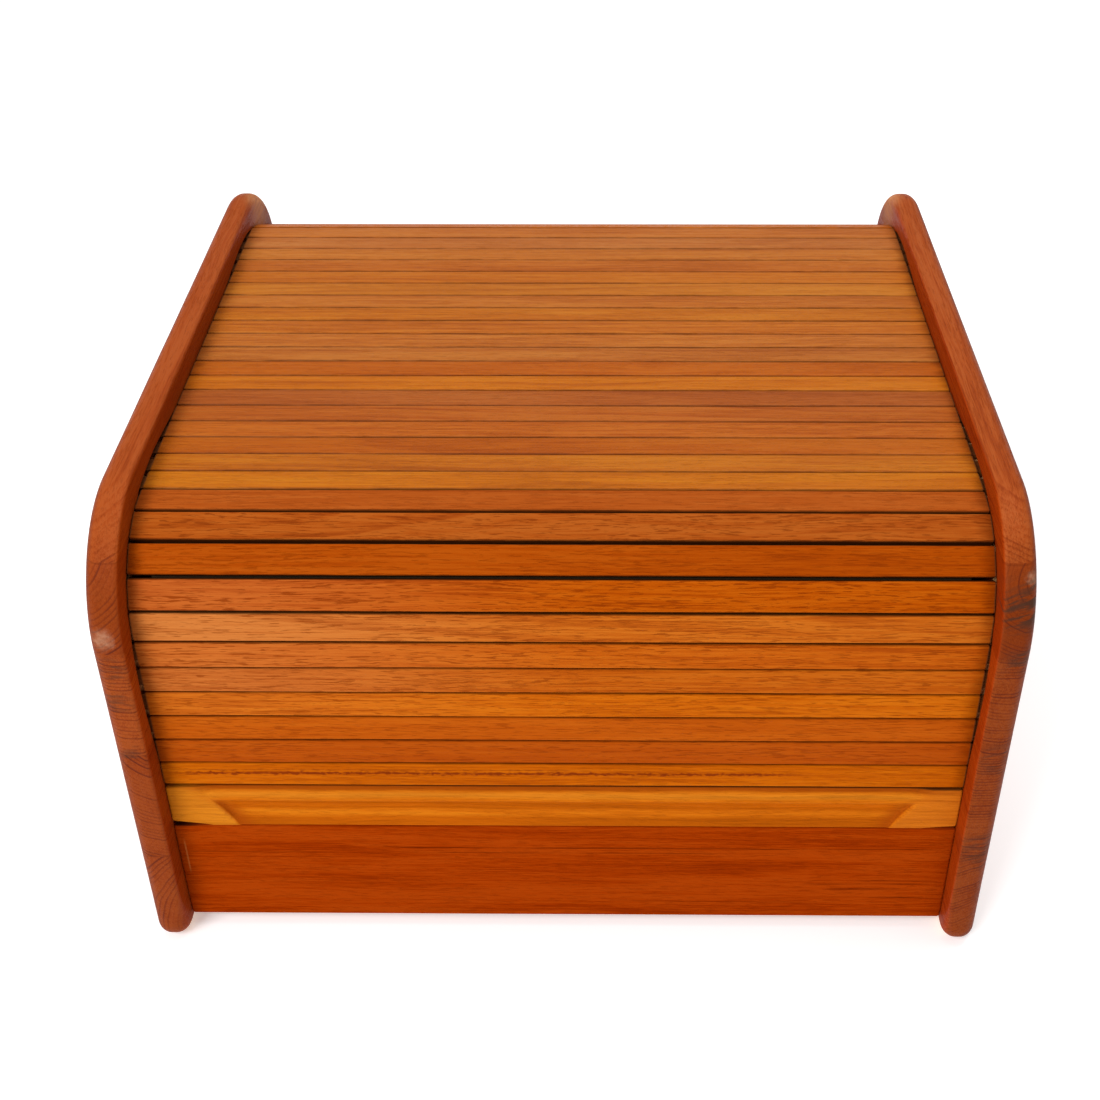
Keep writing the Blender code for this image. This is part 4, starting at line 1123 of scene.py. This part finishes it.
# the handle was cut across sapwood and heartwood: bands of colour from end to end, which also carry painted shade and
# highlight of the scoop's profile, and pale flat ends
HANDLE_BANDS_WITH_SHADE = [
    (-0.1725, 0.1725, Z_HANDLE_BOTTOM + 0.0212, Z_HANDLE_BOTTOM + 0.0310, (0.235, 0.041, 0.0003), 0.004),
    (-0.1700, 0.1700, Z_HANDLE_BOTTOM + 0.0172, Z_HANDLE_BOTTOM + 0.0224, (0.52, 0.158, 0.009), 0.006),
    (-0.1580, 0.1580, Z_HANDLE_BOTTOM + 0.0075, Z_HANDLE_BOTTOM + 0.0165, (0.42, 0.084, 0.0005), 0.004),
    (-0.1560, 0.1560, Z_HANDLE_BOTTOM - 0.0060, Z_HANDLE_BOTTOM + 0.0062, (0.37, 0.072, 0.001), 0.004),
]
make_handle(teak("teak_handle_slat", (0.52, 0.125, 0.003), 91, rings=0.35, ring_gap=0.0040, pith=(0.04, 0.05),
                 slope=0.010, warp=0.004, fibre=0.45, pores=0.30, blotch=0.6, roughness=0.40, specular=0.01,
                 ends=0.003, patches=HANDLE_BANDS_WITH_SHADE,
                 flat_ends=(Z_HANDLE_BOTTOM, HANDLE_TALL, (0.53, 0.165, 0.008), (0.50, 0.125, 0.006))))

canvas = canvas_material("canvas_brown_weave")
for i in range(-1, SLAT_COUNT):
    make_canvas(i, canvas)

case_tone = (0.33, 0.062, 0.010)
for side_name, sign, seed in (("side_left", -1, 7), ("side_right", 1, 8)):
    if sign < 0:
        joins = (0.061, 0.126, 0.184, 0.222)
        look = [(-0.143, 0.012, 0.40), (-0.172, 0.137, 0.40), (-0.188, 0.245, 0.02), (-0.223, 0.236, 0.60), (-0.16, 0.16, 0.30)]
        # a small scuff on the front edge, and a wide painted sheen on the back corner's inner rounding
        side_scuffs_and_sheen = [(-0.1935, -0.1972, 0.1920, 0.0072, 0.36, (0.62, 0.36, 0.22)),
                 (-0.1852, 0.1610, 0.2340, 0.0300, 0.72, (0.62, 0.27, 0.11))]
        stain = [(-0.193, -0.198, 0.176, 0.011, 0.65), (-0.193, -0.198, 0.158, 0.010, 0.55), (-0.193, -0.198, 0.128, 0.007, 0.5)]
    else:
        joins = (0.064, 0.126, 0.183, 0.2225)
        look = [(0.216, -0.010, 0.20), (0.190, 0.249, 0.10), (0.199, 0.235, 0.10), (0.200, 0.2165, 0.70), (0.17, 0.17, 0.10)]
        # a small scuff on the front edge, and a wide painted sheen on the back corner's inner rounding
        side_scuffs_and_sheen = [(0.1985, -0.1865, 0.2183, 0.0056, 0.36, (0.62, 0.36, 0.22)),
                 (0.1852, 0.1610, 0.2340, 0.0300, 0.72, (0.62, 0.27, 0.11))]
        stain = [(0.197, -0.192, 0.2080, 0.021, 0.95), (0.196, -0.198, 0.183, 0.012, 0.70),
                 (0.195, -0.198, 0.126, 0.012, 0.45), (0.195, -0.198, 0.066, 0.016, 0.50)]
    boards = dict(z=(0.0, HEIGHT), cuts=[z / HEIGHT for z in joins], look=look)
    mat = teak("teak_" + side_name, case_tone, seed, grain="y", rings=0.60, ring_gap=0.0021 if sign < 0 else 0.0017,
               pith=(0.0, 0.0), slope=0.012, warp=0.0030, fibre=0.55, pores=0.45, blotch=0.6, roughness=0.42, boards=boards,
               # the right side's end grain is painted darker than the left's, as shade on the side away from the lamp
               end_grain_and_shade=(0.80, 0.74, 0.55) if sign < 0 else (0.67, 0.60, 0.40),
               inner_face=(sign, (0.84, 0.60, 0.20) if sign < 0 else (0.96, 0.57, 0.16)), scuffs_and_sheen=side_scuffs_and_sheen,
               stains=stain, specular=0.03, contrast=1.4, depth=0.00020)
    make_side(side_name, sign, mat, seed)

make_rail(teak("teak_rail", (0.30, 0.033, 0.0004), 61, rings=0.70, contrast=1.30, ring_gap=0.0030, pith=(0.05, -0.03), slope=0.006,
               warp=0.0030, fibre=0.7, pores=0.35, blotch=0.8, roughness=0.45, specular=0.0,
               under_handle_shade=(Z_RAIL_TOP, 0.163),
               streaks=[(0.0556, 0.0008, 0.85, -0.12, 0.185), (0.0522, 0.0006, 0.60, -0.19, 0.08),
                        (0.0338, 0.0008, 0.60, 0.13, 0.185), (0.0315, 0.0011, 0.75, 0.11, 0.185),
                        (0.0280, 0.0012, 0.80, 0.12, 0.185), (0.0220, 0.0009, 0.75, 0.09, 0.185),
                        (0.0160, 0.0012, 0.60, 0.145, 0.185), (0.0185, 0.0006, 0.45, 0.02, 0.185)],
               worn_lines=[(-0.1812, 0.036, 0.062, 0.0006, 0.45)]))
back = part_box("back_board")
floor_low, floor_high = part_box("floor_panel")
make_board("back_board", teak("teak_back", (0.40, 0.095, 0.016), 71, rings=0.8, ring_gap=0.0040, pith=(0.06, 0.02),
                              slope=0.015, warp=0.006, fibre=0.6, pores=0.5, blotch=0.7, roughness=0.5),
           0.0009, 5,
           ((back[0].x - 0.01, back[0].y - 0.01, floor_low.z - 0.0003),
            (back[1].x + 0.01, floor_high.y + 0.0003, floor_high.z + 0.0003)))
make_board("floor_panel", ply_material("ply_floor", (0.46, 0.19, 0.065), 81, "z", floor_low.z, floor_high.z - floor_low.z),
           0.0004, 6)
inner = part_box("inner_back")
make_board("inner_back", ply_material("ply_inner", (0.44, 0.18, 0.06), 82, "y", inner[0].y, inner[1].y - inner[0].y),
           0.0006, 7)

beech = beech_material("beech_plain")
for node in ("rail_dowel_left_lower", "rail_dowel_left_upper", "rail_dowel_right_lower", "rail_dowel_right_upper"):
    obj = frame["nodes"][node]
    for slot_index in range(len(obj.material_slots)):
        obj.material_slots[slot_index].material = beech
# the canvas strips stand for the one canvas node
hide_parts("tambour_canvas")

# ----------------------------------------------------------------------------
# Camera, floor and light
# ----------------------------------------------------------------------------
camera = bpy.data.cameras.new("camera")
eye = bpy.data.objects.new("camera", camera)
bpy.context.scene.collection.objects.link(eye)
camera.sensor_width = 36.0
camera.lens = 51.96
camera.shift_x = -0.0322
camera.clip_start, camera.clip_end = 0.02, 60.0
pitch, yaw, roll = math.radians(36.14), math.radians(0.75), math.radians(-0.27)


def turned(v):
    return Vector((math.cos(yaw) * v[0] - math.sin(yaw) * v[1], math.sin(yaw) * v[0] + math.cos(yaw) * v[1], v[2]))


right, ahead = turned((1, 0, 0)), turned((0, math.cos(pitch), -math.sin(pitch)))
above = turned((0, math.sin(pitch), math.cos(pitch)))
r2 = math.cos(roll) * right + math.sin(roll) * above
u2 = -math.sin(roll) * right + math.cos(roll) * above
eye.matrix_world = Matrix(((r2.x, u2.x, -ahead.x, 0.0178), (r2.y, u2.y, -ahead.y, -0.7140),
                           (r2.z, u2.z, -ahead.z, 0.6175), (0, 0, 0, 1)))
bpy.context.scene.camera = eye

bm = bmesh.new()
bmesh.ops.create_grid(bm, x_segments=8, y_segments=8, size=9.0)
floor = mesh_object("studio_floor", bm, None)
floor.location.z = -0.00005
t = Tree("studio_white")
grit = t.noise(t.vec("MULTIPLY", t.co.outputs["Object"], (3.0, 3.0, 3.0)), 3.0, 0.5)
t.shader.inputs["Emission Color"].default_value = (1.0, 1.0, 1.0, 1.0)
t.shader.inputs["Emission Strength"].default_value = 0.32
floor.data.materials.append(t.finish(t.mix(t.spread(grit, 0.3, 0.7), (0.90, 0.90, 0.90), (0.92, 0.92, 0.92)),
                                     0.85, None, 0.1, viewport=(0.9, 0.9, 0.9)))


def softbox(name, place, target, size, power, colour=(1, 1, 1)):
    lamp = bpy.data.lights.new(name, "AREA")
    lamp.shape = "RECTANGLE"
    lamp.size, lamp.size_y = size
    lamp.energy = power
    lamp.color = colour
    obj = bpy.data.objects.new(name, lamp)
    bpy.context.scene.collection.objects.link(obj)
    obj.location = place
    obj.rotation_euler = (Vector(target) - Vector(place)).to_track_quat("-Z", "Y").to_euler()
    return obj


softbox("key", (-1.3, -1.9, 2.0), (0, 0, 0.12), (1.2, 1.2), 58)
softbox("top", (0.3, 0.3, 2.4), (0, 0, 0.1), (1.6, 1.6), 30)
world = bpy.data.worlds.new("studio")
bpy.context.scene.world = world
world.use_nodes = True
world.node_tree.nodes["Background"].inputs["Color"].default_value = (1.0, 1.0, 1.0, 1.0)
world.node_tree.nodes["Background"].inputs["Strength"].default_value = 0.42
bpy.context.scene.view_settings.view_transform = "Standard"
